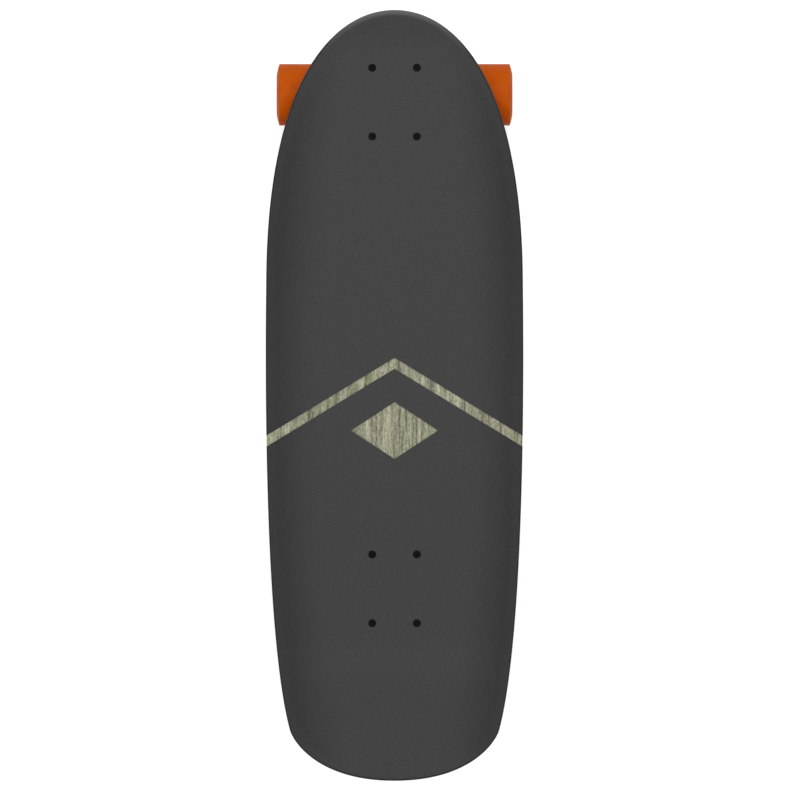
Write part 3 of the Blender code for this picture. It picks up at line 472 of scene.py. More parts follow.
def dress(tree, shader, colour, layers=(), gloss=None, relief=None):
    """Link a finish to its shader.

    The layers are laid over the colour in turn, each a share and a colour, and how they blend where
    that isn't plain. The gloss is a pattern with the roughness of its lows and highs. The relief is a
    height pattern, what its full range stands for in metres, and its strength.
    """
    for share, over, *blend in layers:
        inputs = {SHARE: share, COLOUR_UNDER: colour, COLOUR_OVER: over}
        way = blend[0] if blend else "MIX"
        layered = add_node(tree, "Mix", inputs, data_type="RGBA", blend_type=way)
        colour = layered.outputs[MIXED_COLOUR]
    tree.links.new(colour, shader.inputs["Base Color"])
    if gloss:
        pattern, low, high = gloss
        spread = {"Value": pattern, "From Min": NOISE_LOW, "From Max": NOISE_HIGH}
        rough = add_node(tree, "MapRange", {**spread, "To Min": low, "To Max": high})
        tree.links.new(rough.outputs[0], shader.inputs["Roughness"])
    if relief:
        height, distance, strength = relief
        raised = {"Height": height, "Distance": distance, "Strength": strength}
        bump = add_node(tree, "Bump", raised)
        tree.links.new(bump.outputs[0], shader.inputs["Normal"])


def clouded(name, tone, other, cloud, gloss=None, relief=None, **values):
    """A finish that drifts between two colours, in clouds that may change its gloss as well.

    The cloud is its size, its detail and perhaps its shift. The gloss is the roughness of its lows and
    highs. The relief is the size and detail of another pattern, and its height in metres.
    """
    material, tree, shader, place = new_material(name, **values)
    patches = grains(tree, place, *cloud)
    if gloss:
        gloss = (patches, *gloss)
    if relief:
        size, detail, height = relief
        relief = (grains(tree, place, size, detail), height, 1.0)
    dress(tree, shader, tone, [(patches, other)], gloss, relief)
    return material


def pressed_plywood(scene):
    """Rotary-cut maple: streaks along the board, a stained face veneer and thin dark glue lines."""
    deck = scene.cruiser_deck
    material, tree, shader, place = new_material("pressed_maple_plywood", Specular_IOR_Level=0.3)
    depth = add_node(tree, "Attribute", attribute_name="depth").outputs["Fac"]
    sides = add_node(tree, "SeparateXYZ", {0: place}).outputs
    in_sheet = {"X": sides["X"], "Y": sides["Y"], "Z": depth}
    place = add_node(tree, "CombineXYZ", in_sheet).outputs[0]

    fibres = grains(tree, place, (0.0022, 0.040, 0.0022), 4.0)
    bands = grains(tree, place, (0.0070, 0.110, 0.0070), 3.0, 3.7)
    flecks = grains(tree, place, (0.0012, 0.0028, 0.0012), 2.0, 6.3)
    pores = grains(tree, place, (0.0003, 0.008, 0.0003), 3.0, 9.4)
    figure = fibres
    for share, pattern in ((0.5, bands), (0.3, flecks)):
        inputs = {SHARE: share, NUMBER_UNDER: figure, NUMBER_OVER: pattern}
        figure = add_node(tree, "Mix", inputs).outputs[0]
    with_pores = {0: pores, 1: 0.3, 2: figure}
    figure = add_node(tree, "Math", with_pores, operation="MULTIPLY_ADD").outputs[0]
    veneers = (
        ((0.50, "#46482c"), (0.58, "#656849"), (0.65, "#838766"), (0.72, "#9ca082"), (0.81, "#b7baa2")),
        ((0.50, "#4b443a"), (0.58, "#6b6456"), (0.65, "#8b8473"), (0.72, "#a49d8e"), (0.81, "#bfb9ae")),
        ((0.51, "#b88c58"), (0.61, "#c9a06b"), (0.69, deck.maple), (0.83, "#e2c294")),
    )
    olive, rosy, plain = (
        add_node(tree, "ValToRGB", {"Fac": figure}, stops).outputs[0] for stops in veneers
    )
    patches = grains(tree, place, (0.0085, 0.090, 0.0085), 2.0, 8.1)
    spread = {"Value": patches, "From Min": 0.35, "From Max": 0.7}
    rosiness = add_node(tree, "MapRange", spread).outputs[0]

    ply = 1 / deck.plies
    through = add_node(tree, "Math", {0: depth, 1: deck.thickness}, operation="DIVIDE").outputs[0]
    is_core = add_node(tree, "Math", {0: through, 1: ply}, operation="GREATER_THAN").outputs[0]
    along, across, glue = "#ffffff", "#c3a287", "#7d5f47"
    half_line = deck.glue_line / deck.thickness / 2
    stops = [(0.0, along)]
    for layer in range(1, deck.plies):
        tone = across if layer in (2, 4) else along
        stops += [(layer * ply - half_line, glue), (layer * ply + half_line, tone)]
    plies = add_node(tree, "ValToRGB", {"Fac": through}, stops)
    plies.color_ramp.interpolation = "CONSTANT"
    layers = [(rosiness, rosy), (is_core, plain), (1.0, plies.outputs[0], "MULTIPLY")]
    dress(tree, shader, olive, layers, (fibres, 0.52, 0.38), (pores, 0.00008, 1.0))
    return material


def grip_tape(scene):
    """Silicon carbide grit in resin: matt charcoal with sharp grains, the palest painted as glints, with
    painted shade round the rim and a painted highlight on the nose's rim.

    Real grains are 0.2 mm across. They are drawn twice as coarse, so that they show.
    """
    grip = scene.cruiser_grip
    material, tree, shader, place = new_material(
        "silicon_carbide_grip_tape", Roughness=0.52, Specular_IOR_Level=0.37
    )
    rim = add_node(tree, "Attribute", attribute_name="rim").outputs["Fac"]
    along = add_node(tree, "SeparateXYZ", {0: place}).outputs["Y"]
    ahead = {"Value": along, "From Min": NOSE_HIGHLIGHT_FROM_Y, "From Max": NOSE_HIGHLIGHT_TO_Y}
    nose = add_node(tree, "MapRange", ahead).outputs[0]
    # Painted highlight on the nose's rim, where light from ahead catches the rounded edge.
    filed_and_nose_highlight = add_node(tree, "Math", {0: rim, 1: nose}, operation="MULTIPLY").outputs[0]
    # Painted shade round the rim: the grit darkens over the band and the rounded edge.
    rim_shade = add_node(tree, "Math", {0: rim, 1: 2.0}, operation="MULTIPLY", use_clamp=True).outputs[0]
    cells = {"Vector": place, "Scale": 1 / grip.grit}
    grit = add_node(tree, "TexVoronoi", cells).outputs
    # The grains vary in tone, and the palest are painted glints: grit drawn as if catching the light.
    glint = add_node(tree, "SeparateColor", {0: grit["Color"]}).outputs[0]
    stops = [(0.0, "#0c0c0c"), (0.7, grip.grey), (0.85, "#1f1f1f"), (1.0, "#2c2c2c")]
    body = add_node(tree, "ValToRGB", {"Fac": glint}, stops).outputs[0]
    layers = [(rim_shade, grip.rim_shade_grey), (filed_and_nose_highlight, grip.nose_highlight_grey)]
    dress(tree, shader, body, layers, relief=(grit["Distance"], grip.grit / 4, 0.4))
    return material


def poured_urethane(scene):
    """Poured, turned urethane: deep orange right through, satin, with a faint cloudiness."""
    orange = scene.cruiser_wheel.urethane
    return clouded(
        "poured_orange_urethane",
        orange,
        tinted(orange, "#e6d6cc"),
        (0.009, 2.0),
        gloss=(0.46, 0.56),
        relief=(0.0004, 2.0, 0.00003),
        Specular_IOR_Level=0.04,
        Subsurface_Weight=0.08,
        Subsurface_Radius=(0.003, 0.001, 0.0004),
        Subsurface_Scale=1.0,
    )


def bushing_urethane(scene):
    """Cast black urethane: satin, almost featureless, a little paler where it's handled."""
    black = scene.cruiser_truck.rubber
    gloss, relief = (0.38, 0.55), (0.0005, 2.0, 0.00004)
    return clouded("cast_black_urethane", black, "#2b2b2c", (0.003, 3.0), gloss, relief)


def tumbled_aluminium(scene):
    """Sand-cast alloy tumbled bright: a pebbled skin, soft gloss, and greyer clouds."""
    bright = scene.cruiser_truck.aluminium
    shade, cloud = tinted(bright, "#cfcfd0"), (0.008, 3.0, 5.0)
    gloss, relief = (0.34, 0.5), (0.0009, 4.0, 0.00012)
    return clouded("tumbled_cast_aluminium", bright, shade, cloud, gloss, relief, Metallic=1.0)


def zinc_plate(scene):
    """Bright zinc on turned steel: pale, fairly sharp reflections with a faint bloom."""
    zinc = scene.cruiser_truck.zinc
    gloss, relief = (0.22, 0.4), (0.0003, 2.0, 0.00001)
    return clouded("bright_zinc_plate", zinc, "#bcb8ac", (0.0025, 4.0), gloss, relief, Metallic=1.0)


def ground_steel(scene):
    """Ground bearing steel: near mirror, with fine grinding marks."""
    tones, marks = ("#c4c6ca", "#aeb0b4"), ((0.0002, 0.004, 0.004), 2.0)
    return clouded("ground_bearing_steel", *tones, marks, (0.12, 0.24), Metallic=1.0)


def nitrile_seal(scene):
    """Moulded nitrile: matt near-black."""
    black, relief = scene.cruiser_wheel.seal, (0.0006, 2.0, 0.00003)
    return clouded("nitrile_rubber", black, "#2c2d30", (0.0006, 2.0), relief=relief, Roughness=0.55)


def black_oxide(scene):
    """Blacked steel: dark, oily sheen, a little brown where the tool has rubbed it."""
    tones, gloss = ("#050505", "#0c0b0a"), (0.55, 0.68)
    return clouded("blacked_steel", *tones, (0.0012, 3.0), gloss, Specular_IOR_Level=0.07)


def nylon(scene):
    """The lock ring of a lock nut: milky nylon."""
    return clouded("natural_nylon", "#d9d6c8", "#cbc8ba", (0.001, 2.0), Roughness=0.5)


FINISHES_OF_SLOT = {
    "maple_veneer": [pressed_plywood],
    "grip_tape": [grip_tape],
    "orange_urethane": [poured_urethane],
    "black_urethane": [bushing_urethane],
    "cast_aluminium": [tumbled_aluminium],
    "zinc_plated_steel": [zinc_plate, nylon],
    "bearing_steel": [ground_steel, nitrile_seal],
    "black_oxide_steel": [black_oxide],
}
made_finishes = {}


def finish(make):
    """A finish, made the first time that a piece asks for it."""
    if make not in made_finishes:
        made_finishes[make] = make(bpy.context.scene)
    return made_finishes[make]


# Modelling helpers


def points_of(items):
    return [item for item in items if isinstance(item, bmesh.types.BMVert)]


def rounded(bm, geom, offset, segments, affect):
    """Round off some corners or edges."""
    bmesh.ops.bevel(
        bm, geom=geom, offset=offset, segments=segments, profile=0.5, affect=affect, material=-1
    )


def turned(profile, place=AS_MODELLED, steps=TURN_STEPS, ring=False):
    """Turn a profile of (radius, height[, corner rounding]) points round Z, and put it in a frame.

    A ring's profile closes on itself, and a solid's on the axis.
    """
    if not ring:
        profile = [(0, profile[0][1]), *profile, (0, profile[-1][1])]
    bm = bmesh.new()
    line = [bm.verts.new((point[0], 0, point[1])) for point in profile]
    for pair in zip(line, line[1:]):
        bm.edges.new(pair)
    if ring:
        bm.edges.new((line[-1], line[0]))
    for corner, point in zip(line, profile):
        if len(point) > 2:
            rounded(bm, [corner], point[2], CORNER_SEGMENTS, "VERTICES")
    outline = [*bm.verts, *bm.edges]
    bmesh.ops.spin(bm, geom=outline, axis=(0, 0, 1), angle=tau, steps=steps, use_merge=True)
    bmesh.ops.remove_doubles(bm, verts=bm.verts, dist=MERGE_DISTANCE)
    bmesh.ops.recalc_face_normals(bm, faces=bm.faces)
    bm.transform(place)
    return bm


def round_bar(radius, low, high, place=AS_MODELLED, steps=TURN_STEPS):
    return turned([(radius, high), (radius, low)], place, steps)


def tube(outer, bore, low, high, rounding):
    """A plain ring with its outer corners rounded, and finer ones round its bore."""
    outside = [(outer, high, rounding), (outer, low, rounding)]
    return turned([*outside, (bore, low, FINE_EDGE), (bore, high, FINE_EDGE)], ring=True)


def hexagon_bar(across_flats, low, high):
    bm = bmesh.new()
    radius = across_flats / sqrt(3)
    bmesh.ops.create_cone(
        bm, cap_ends=True, segments=6, radius1=radius, radius2=radius, depth=high - low
    )
    bmesh.ops.translate(bm, verts=bm.verts, vec=(0, 0, (high + low) / 2))
    return bm


def thread(radius, depth, start, end, pitch, taper):
    """Profile points down a threaded shank to its tapered tip, the turns drawn as rings."""
    points = [(radius, start)]
    height = start
    while height - pitch > end:
        points += [(radius - depth, height), (radius, height - pitch / 2)]
        height -= pitch
    return [*points, (radius - taper, end)]


def up_a_ball(radius):
    """Profile points up a ball, from its equator to its pole."""
    turns = [pi / 2 * step / BALL_STEPS for step in range(BALL_STEPS + 1)]
    return [(radius * cos(turn), radius * sin(turn)) for turn in turns]


def with_mirror(half):
    """Half of a profile, followed by the same turned upside down."""
    return [*half, *((radius, -height, *rounding) for radius, height, *rounding in reversed(half))]


def wrapped(*rounds):
    """The casting that wraps a few circles, each given as its frame, radius and height there."""
    bm = bmesh.new()
    for place, radius, height in rounds:
        middle = place @ moved(0, 0, height)
        bmesh.ops.create_circle(bm, segments=CAST_STEPS, radius=radius, matrix=middle)
    bmesh.ops.delete(bm, geom=bm.edges[:], context="EDGES_FACES")
    result = bmesh.ops.convex_hull(bm, input=bm.verts)
    loose = set(points_of([*result["geom_interior"], *result["geom_unused"]]))
    bmesh.ops.delete(bm, geom=list(loose), context="VERTS")
    bmesh.ops.recalc_face_normals(bm, faces=bm.faces)
    return bm


def gathered(*solids):
    """Several solids in one mesh."""
    bm = solids[0]
    for solid in solids[1:]:
        mesh = bpy.data.meshes.new("part")
        solid.to_mesh(mesh)
        bm.from_mesh(mesh)
        bpy.data.meshes.remove(mesh)
    return bm


def as_object(bm, name="part"):
    mesh = bpy.data.meshes.new(name)
    bm.to_mesh(mesh)
    obj = bpy.data.objects.new(name, mesh)
    bpy.context.scene.collection.objects.link(obj)
    return obj


def applied(obj, helpers=()):
    """An object's mesh with its modifiers in it. The object and its helpers are removed."""
    bm = bmesh.new()
    bm.from_object(obj, bpy.context.evaluated_depsgraph_get())
    for used in (obj, *helpers):
        mesh = used.data
        bpy.data.objects.remove(used)
        bpy.data.meshes.remove(mesh)
    if not bm.faces:
        raise RuntimeError("a modifier left nothing of a piece")
    return bm


def machined(bm, met=(), joined=(), cut=()):
    """A solid kept where others meet it, with more joined on, and more cut away."""
    body = as_object(bm)
    tools = []
    for operation, solids in (("INTERSECT", met), ("UNION", joined), ("DIFFERENCE", cut)):
        for solid in solids:
            tool = as_object(solid)
            tools.append(tool)
            step = body.modifiers.new(operation, "BOOLEAN")
            step.operation = operation
            step.solver = "EXACT"
            step.object = tool
    return applied(body, tools)


def cast(bm, settings):
    """Blend overlapping solids into one casting with fillets."""
    body = as_object(bm)
    step = body.modifiers.new("blend", "REMESH")
    step.mode = "VOXEL"
    step.voxel_size = settings.voxel
    bm = applied(body)
    for _ in range(settings.fillets):
        bmesh.ops.smooth_vert(
            bm, verts=bm.verts, factor=0.5, use_axis_x=True, use_axis_y=True, use_axis_z=True
        )
    return bm


def split(bm, point, across, **options):
    """Cut every face that crosses a plane in two."""
    everything = [*bm.verts, *bm.edges, *bm.faces]
    return bmesh.ops.bisect_plane(bm, geom=everything, plane_co=point, plane_no=across, **options)


def trim(bm, point, outward):
    """Machine a flat face: cut a solid off at a plane and close it."""
    cut = split(bm, point, outward, clear_outer=True)
    edges = [item for item in cut["geom_cut"] if isinstance(item, bmesh.types.BMEdge)]
    bmesh.ops.edgeloop_fill(bm, edges=edges)
    bmesh.ops.recalc_face_normals(bm, faces=bm.faces)


def place_piece(name, node, bm, place=AS_MODELLED, bends=None):
    """Put a piece where its CAD node is, in its slot's finish, on its body or bending between two."""
    piece = as_object(bm, name)
    piece.data.shade_smooth()
    piece.data.set_sharp_from_angle(angle=SHARP_ANGLE)
    piece.data.transform(place)
    slot = SLOT_OF_NODE[node]
    for make in FINISHES_OF_SLOT[slot]:
        piece.data.materials.append(finish(make))
    if bends:
        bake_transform(piece, *bends)
    else:
        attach(piece, BODY_OF_NODE[node])
    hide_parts(node)


def place_on_trucks(*pieces):
    """Put pieces on both trucks, each given as its name, its node, its shape and its place there."""
    for end, truck in TRUCK_FRAMES.items():
        for name, node, bm, place in pieces:
            place_piece(f"{end}_{name}", f"{end}_{node}", bm, truck @ place)


def place_at_corners(*pieces):
    """Put pieces at all four wheels, in a frame whose Z runs out along the axle."""
    for end, truck in TRUCK_FRAMES.items():
        for side in (-1, 1):
            spot = moved(side * WHEEL_X, AXLE_OFFSET, -TRUCK_HEIGHT)
            corner = truck @ spot @ Matrix.Rotation(side * pi / 2, 4, "Y")
            hand = "left" if corner.translation.x < 0 else "right"
            for name, node, bm, place in pieces:
                place_piece(f"{end}_{hand}_{name}", f"{end}_{hand}_{node}", bm, corner @ place)


# Deck shape


def bezier(points, share):
    rest = 1 - share
    weights = (rest**3, 3 * rest**2 * share, 3 * rest * share**2, share**3)
    return sum((weight * Vector(point) for weight, point in zip(weights, points)), Vector((0, 0)))


def half_outline():
    """The right half of the blank, in even steps from the nose tip to the tail tip."""
    side = DECK_WIDTH / 2
    end = DECK_LENGTH / 2
    corner = Vector((side - TAIL_TAPER, TAIL_CORNER_RISE - end))
    along = Vector((sin(TAIL_CORNER_ANGLE), cos(TAIL_CORNER_ANGLE)))
    shoulder = (side, SHOULDER_Y)
    arcs = (
        ((0, end), (NOSE_ROUNDING, end), (side, SHOULDER_Y + NOSE_SWEEP), shoulder),
        (shoulder, (side, SHOULDER_Y - SIDE_SWEEP), corner + TAIL_SWEEP * along, corner),
        (corner, corner - TAIL_CORNER_ROUNDING * along, (TAIL_ROUNDING, -end), (0, -end)),
    )
    shares = [step / CURVE_SAMPLES for step in range(CURVE_SAMPLES)]
    fine = [bezier(arc, share) for arc in arcs for share in shares] + [Vector((0, -end))]
    total = sum((b - a).length for a, b in zip(fine, fine[1:]))
    step = total / round(total / OUTLINE_STEP)
    points, run = [fine[0]], 0.0
    for before, after in zip(fine, fine[1:]):
        run += (after - before).length
        if run >= step:
            run -= step
            points.append(after)
    if (points[-1] - fine[-1]).length < step / 2:
        points.pop()
    return [*points, fine[-1]]


def bend_rise(run, radius, angle):
    """The rise of a sheet that bends up on a radius to an angle, then runs straight."""
    if run <= 0:
        return 0.0
    bend_run = radius * sin(angle)
    if run < bend_run:
        return radius - sqrt(radius**2 - run**2)
    return radius * (1 - cos(angle)) + (run - bend_run) * tan(angle)


def deck_top(x, y):
    """Height of the deck's upper face after pressing."""
    end = DECK_LENGTH / 2
    kick_run = KICK_LENGTH - (end + y)
    lift_run = NOSE_LIFT_LENGTH - (end - y)
    flat = FLAT_WIDTH - (FLAT_WIDTH - FLAT_WIDTH_AT_ENDS) * (y / end) ** 2
    rail = max(0, abs(x) - flat / 2)
    dish = CONCAVE_RADIUS - sqrt(CONCAVE_RADIUS**2 - rail**2)
    kick = bend_rise(kick_run, KICK_RADIUS, KICK_ANGLE)
    lift = bend_rise(lift_run, NOSE_LIFT_RADIUS, NOSE_LIFT_ANGLE)
    return DECK_TOP_Z + dish + kick + lift


def press(bm):
    """Press a flat blank, whose upper face is at height 0, into the deck's curves."""
    step = SLOPE_STEP
    for point in bm.verts:
        x, y, height = point.co
        slope_x = (deck_top(x + step, y) - deck_top(x - step, y)) / (2 * step)
        slope_y = (deck_top(x, y + step) - deck_top(x, y - step)) / (2 * step)
        point.co.z = deck_top(x, y) + height * sqrt(1 + slope_x**2 + slope_y**2)


def fill_with_columns(bm, face):
    """Replace a blank's whole face by rows across it, each cut into columns."""
    tips = [point for point in face.verts if abs(point.co.x) < MERGE_DISTANCE]
    sides = [edge for edge in face.edges if not any(point in tips for point in edge.verts)]
    bmesh.ops.delete(bm, geom=[face], context="FACES_ONLY")
    made = bmesh.ops.bridge_loops(bm, edges=sides)
    rungs = [edge for edge in made["edges"] if edge.verts[0].co.x * edge.verts[1].co.x < 0]
    bmesh.ops.holes_fill(bm, edges=[edge for edge in bm.edges if edge.is_boundary], sides=0)
    bmesh.ops.subdivide_edges(bm, edges=rungs, cuts=DECK_COLUMNS - 1, use_grid_fill=True)


def wrap_depth(settings):
    """How far below the blank's flat the grip reaches, round the upper edge."""
    return settings.top_rounding * (1 - cos(GRIP_WRAP))


def cut_blank(settings, band):
    """The flat blank, sawn to its outline, rounded along both edges, with a band marked inside them.

    Its rim attribute is 0 inside the band, half at the flat's edge and 1 where the grip ends.
    """
    bm = bmesh.new()
    right = half_outline()
    ring = [bm.verts.new((x, y, 0)) for x, y in right]
    ring += [bm.verts.new((-x, y, 0)) for x, y in reversed(right[1:-1])]
    made = bmesh.ops.extrude_face_region(bm, geom=[bm.faces.new(ring)])
    bmesh.ops.translate(bm, verts=points_of(made["geom"]), vec=(0, 0, -settings.thickness))
    bmesh.ops.recalc_face_normals(bm, faces=bm.faces)
    levels = ((0, settings.top_rounding), (-settings.thickness, settings.under_rounding))
    for height, rounding in levels:
        edges = [
            edge
            for edge in bm.edges
            if all(abs(point.co.z - height) < MERGE_DISTANCE for point in edge.verts)
        ]
        rounded(bm, edges, rounding, 2 * CORNER_SEGMENTS, "EDGES")
    rim = bm.verts.layers.float.new("rim")
    for point in bm.verts:
        point[rim] = min(1, 0.5 - 0.5 * point.co.z / wrap_depth(settings))
    for face in [face for face in bm.faces if abs(face.normal.z) > 0.99 and len(face.verts) > 4]:
        bmesh.ops.inset_individual(bm, faces=[face], thickness=band, use_even_offset=True)
        for point in face.verts:
            point[rim] = 0
        fill_with_columns(bm, face)
    bmesh.ops.recalc_face_normals(bm, faces=bm.faces)
    return bm


def bolt_places():
    """The four holes of one bolt pattern, from its middle."""
    across, along = BOLT_PATTERN_WIDTH / 2, BOLT_PATTERN_LENGTH / 2
    return [(x, y) for y in (along, -along) for x in (-across, across)]


def drills(profile):
    """A turned cutter at each of the eight bolt holes."""
    solids = []
    for centre_y in (FRONT_PATTERN_Y, REAR_PATTERN_Y):
        for x, y in bolt_places():
            solids.append(turned(profile, moved(x, centre_y + y, 0), SMALL_TURN_STEPS))
    return gathered(*solids)


def cut_out(bm, centre, slopes, level, keep_beyond=True):
    """Cut along straight lines, mirrored left to right, and keep the faces beyond them all or the rest.

    A line runs square to its slope, at a level along it from the centre.
    """
    centre = Vector((*centre, 0))
    for slope in slopes:
        for side in (-1, 1):
            across = Vector((side * slope[0], slope[1], 0)).normalized()
            split(bm, centre + across * level, across)
    dropped = []
    for face in bm.faces:
        place = face.calc_center_median() - centre
        reach = max(abs(place.x) * slope[0] + place.y * slope[1] for slope in slopes)
        if (reach > level) != keep_beyond:
            dropped.append(face)
    bmesh.ops.delete(bm, geom=dropped, context="FACES")


def grip_surface(deck, grip, ahead):
    """The upper face of the blank that one sheet covers, down to where it ends on the rounded edge."""
    bm = cut_blank(deck, grip.filed_and_painted_band)
    lowest = -wrap_depth(deck) - MERGE_DISTANCE
    below = [face for face in bm.faces if any(point.co.z < lowest for point in face.verts)]
    bmesh.ops.delete(bm, geom=below, context="FACES")
    split(bm, (0, 0, 0), (1, 0, 0))
    level = grip.stripe / 2 if ahead else -grip.stripe / 2
    slope = (sin(STRIPE_SLOPE), cos(STRIPE_SLOPE))
    cut_out(bm, (0, STRIPE_APEX_Y), [slope], level, keep_beyond=ahead)
    return bm


def thicken(bm, grip):
    """Give a sheet its thickness, thinned by the file towards the rim."""
    rim = bm.verts.layers.float["rim"]
    lift = bm.verts.layers.float_vector.new("lift")
    bm.normal_update()
    for point in bm.verts:
        point[lift] = point.normal
    made = bmesh.ops.extrude_face_region(bm, geom=bm.faces[:])
    for point in bm.verts:
        point.co += point[lift] * grip.glue
    for point in points_of(made["geom"]):
        left = grip.thickness + (grip.filed_and_nose_highlight - grip.thickness) * point[rim]
        point.co += point[lift] * left
    bm.verts.layers.float_vector.remove(lift)
    bmesh.ops.recalc_face_normals(bm, faces=bm.faces)


# Operators


class BuildDeck(bpy.types.Operator):
    """Saw, round, press and drill the seven-ply deck"""

    bl_idname = "cruiser.deck"
    bl_label = "Deck"

    def execute(self, context):
        bm = cut_blank(context.scene.cruiser_deck, context.scene.cruiser_grip.filed_and_painted_band)
        depth = bm.verts.layers.float.new("depth")
        for point in bm.verts:
            point[depth] = -point.co.z
        press(bm)
        head, hole = BOLT_HEAD_RADIUS + BOLT_CLEARANCE, BOLT_RADIUS + BOLT_CLEARANCE
        high, low = DECK_TOP_Z + CUTTER_REACH, MOUNT_Z - CUTTER_REACH
        rim_foot = DECK_TOP_Z + BOLT_HEAD_SINK - BOLT_HEAD_RIM - BOLT_CLEARANCE
        cone_foot = rim_foot - (head - hole)
        profile = [(head, high), (head, rim_foot), (hole, cone_foot), (hole, low)]
        place_piece("plywood_deck", "deck", machined(bm, cut=[drills(profile)]))
        return {"FINISHED"}


class BuildGrip(bpy.types.Operator):
    """Lay the two sheets of grip tape, with the stripe between them and the diamond window"""

    bl_idname = "cruiser.grip"
    bl_label = "Grip tape"

    def execute(self, context):
        deck, grip = context.scene.cruiser_deck, context.scene.cruiser_grip
        radius = BOLT_HEAD_RADIUS + GRIP_HOLE_PLAY
        profile = [(radius, DECK_TOP_Z + CUTTER_REACH), (radius, DECK_TOP_Z - CUTTER_REACH)]
        for end, ahead in (("front", True), ("rear", False)):
            bm = grip_surface(deck, grip, ahead)
            if not ahead:
                turn = atan2(DIAMOND_LENGTH, DIAMOND_WIDTH)
                slopes = [(sin(turn), cos(turn)), (sin(turn), -cos(turn))]
                cut_out(bm, (0, DIAMOND_Y), slopes, DIAMOND_WIDTH / 2 * sin(turn))
            thicken(bm, grip)
            press(bm)
            place_piece(f"{end}_grip_sheet", f"grip_{end}", machined(bm, cut=[drills(profile)]))
        return {"FINISHED"}


def in_second_finish(bm):
    """Give a part of a piece the second finish of its slot."""
    for face in bm.faces:
        face.material_index = 1
    return bm


def lock_nut(flats, height, thread_radius):
    """A hexagon lock nut with a domed collar round its nylon ring, standing on the origin."""
    bore = thread_radius + SEAT_GAP / 2
    inner = flats / 2
    overhang = flats / sqrt(3) - inner
    top = NUT_HEXAGON_SHARE * height
    wide, drop = inner + NUT_CHAMFER_REACH * overhang, NUT_CHAMFER_DROP * overhang
    chamfers = turned([(inner, top), (wide, top - drop), (wide, drop), (inner, 0)])
    outer = NUT_COLLAR_SHARE * inner
    dome = [(outer - NUT_DOME_WIDTH, height, EASED_EDGE), (outer, height - NUT_DOME_DROP, ROUND_EDGE)]
    collar = turned([*dome, (outer, top - NUT_COLLAR_OVERLAP)])
    hole = round_bar(bore, -CUTTER_REACH, height + CUTTER_REACH)
    pocket = bore + NUT_RING_SHARE * (outer - bore)
    ring_foot = height - NUT_RING_DEPTH
    seat = round_bar(pocket, ring_foot, height + CUTTER_REACH)
    hexagon = hexagon_bar(flats, 0, top)
    steel = machined(hexagon, met=[chamfers], joined=[collar], cut=[hole, seat])
    outside, inside = pocket - NUT_RING_PLAY, bore - NUT_RING_BITE
    low, high = ring_foot + NUT_RING_PLAY, height - NUT_RING_SINK
    profile = [(outside, low), (outside, high, FINE_EDGE), (inside, high, FINE_EDGE), (inside, low)]
    return gathered(steel, in_second_finish(turned(profile, ring=True)))


class BuildDeckBolts(bpy.types.Operator):
    """Fit the eight countersunk socket screws and their lock nuts"""

    bl_idname = "cruiser.deck_bolts"
    bl_label = "Deck bolts"

    def execute(self, context):
        head, shank, rim, end = BOLT_HEAD_RADIUS, BOLT_RADIUS, -BOLT_HEAD_RIM, -BOLT_LENGTH
        profile = [(head, 0, EASED_EDGE), (head, rim, HAIR_EDGE), (shank, rim - (head - shank), FINE_EDGE)]
        start = end + BOLT_THREAD_LENGTH
        profile += thread(shank, BOLT_THREAD_DEPTH, start, end, BOLT_PITCH, BOLT_TIP_TAPER)
        socket = hexagon_bar(BOLT_SOCKET_FLATS, -BOLT_SOCKET_DEPTH, CUTTER_REACH)
        bolt = machined(turned(profile, steps=SMALL_TURN_STEPS), cut=[socket])
        nut = lock_nut(DECK_NUT_FLATS, DECK_NUT_HEIGHT, shank)
        head_z = DECK_TOP_Z + BOLT_HEAD_SINK - MOUNT_Z
        nut_z = -PLATE_THICKNESS - SEAT_GAP
        pieces = []
        for number, (x, y) in enumerate(bolt_places(), 1):
            twist = Matrix.Rotation(BOLT_TWIST * number, 4, "Z")
            bolt_place = moved(x, y, head_z) @ twist
            nut_place = moved(x, y, nut_z) @ UPSIDE_DOWN @ twist
            pieces.append((f"countersunk_bolt_{number}", f"deck_bolt_{number}", bolt, bolt_place))
            pieces.append((f"lock_nut_{number}", f"deck_nut_{number}", nut, nut_place))
        place_on_trucks(*pieces)
        return {"FINISHED"}


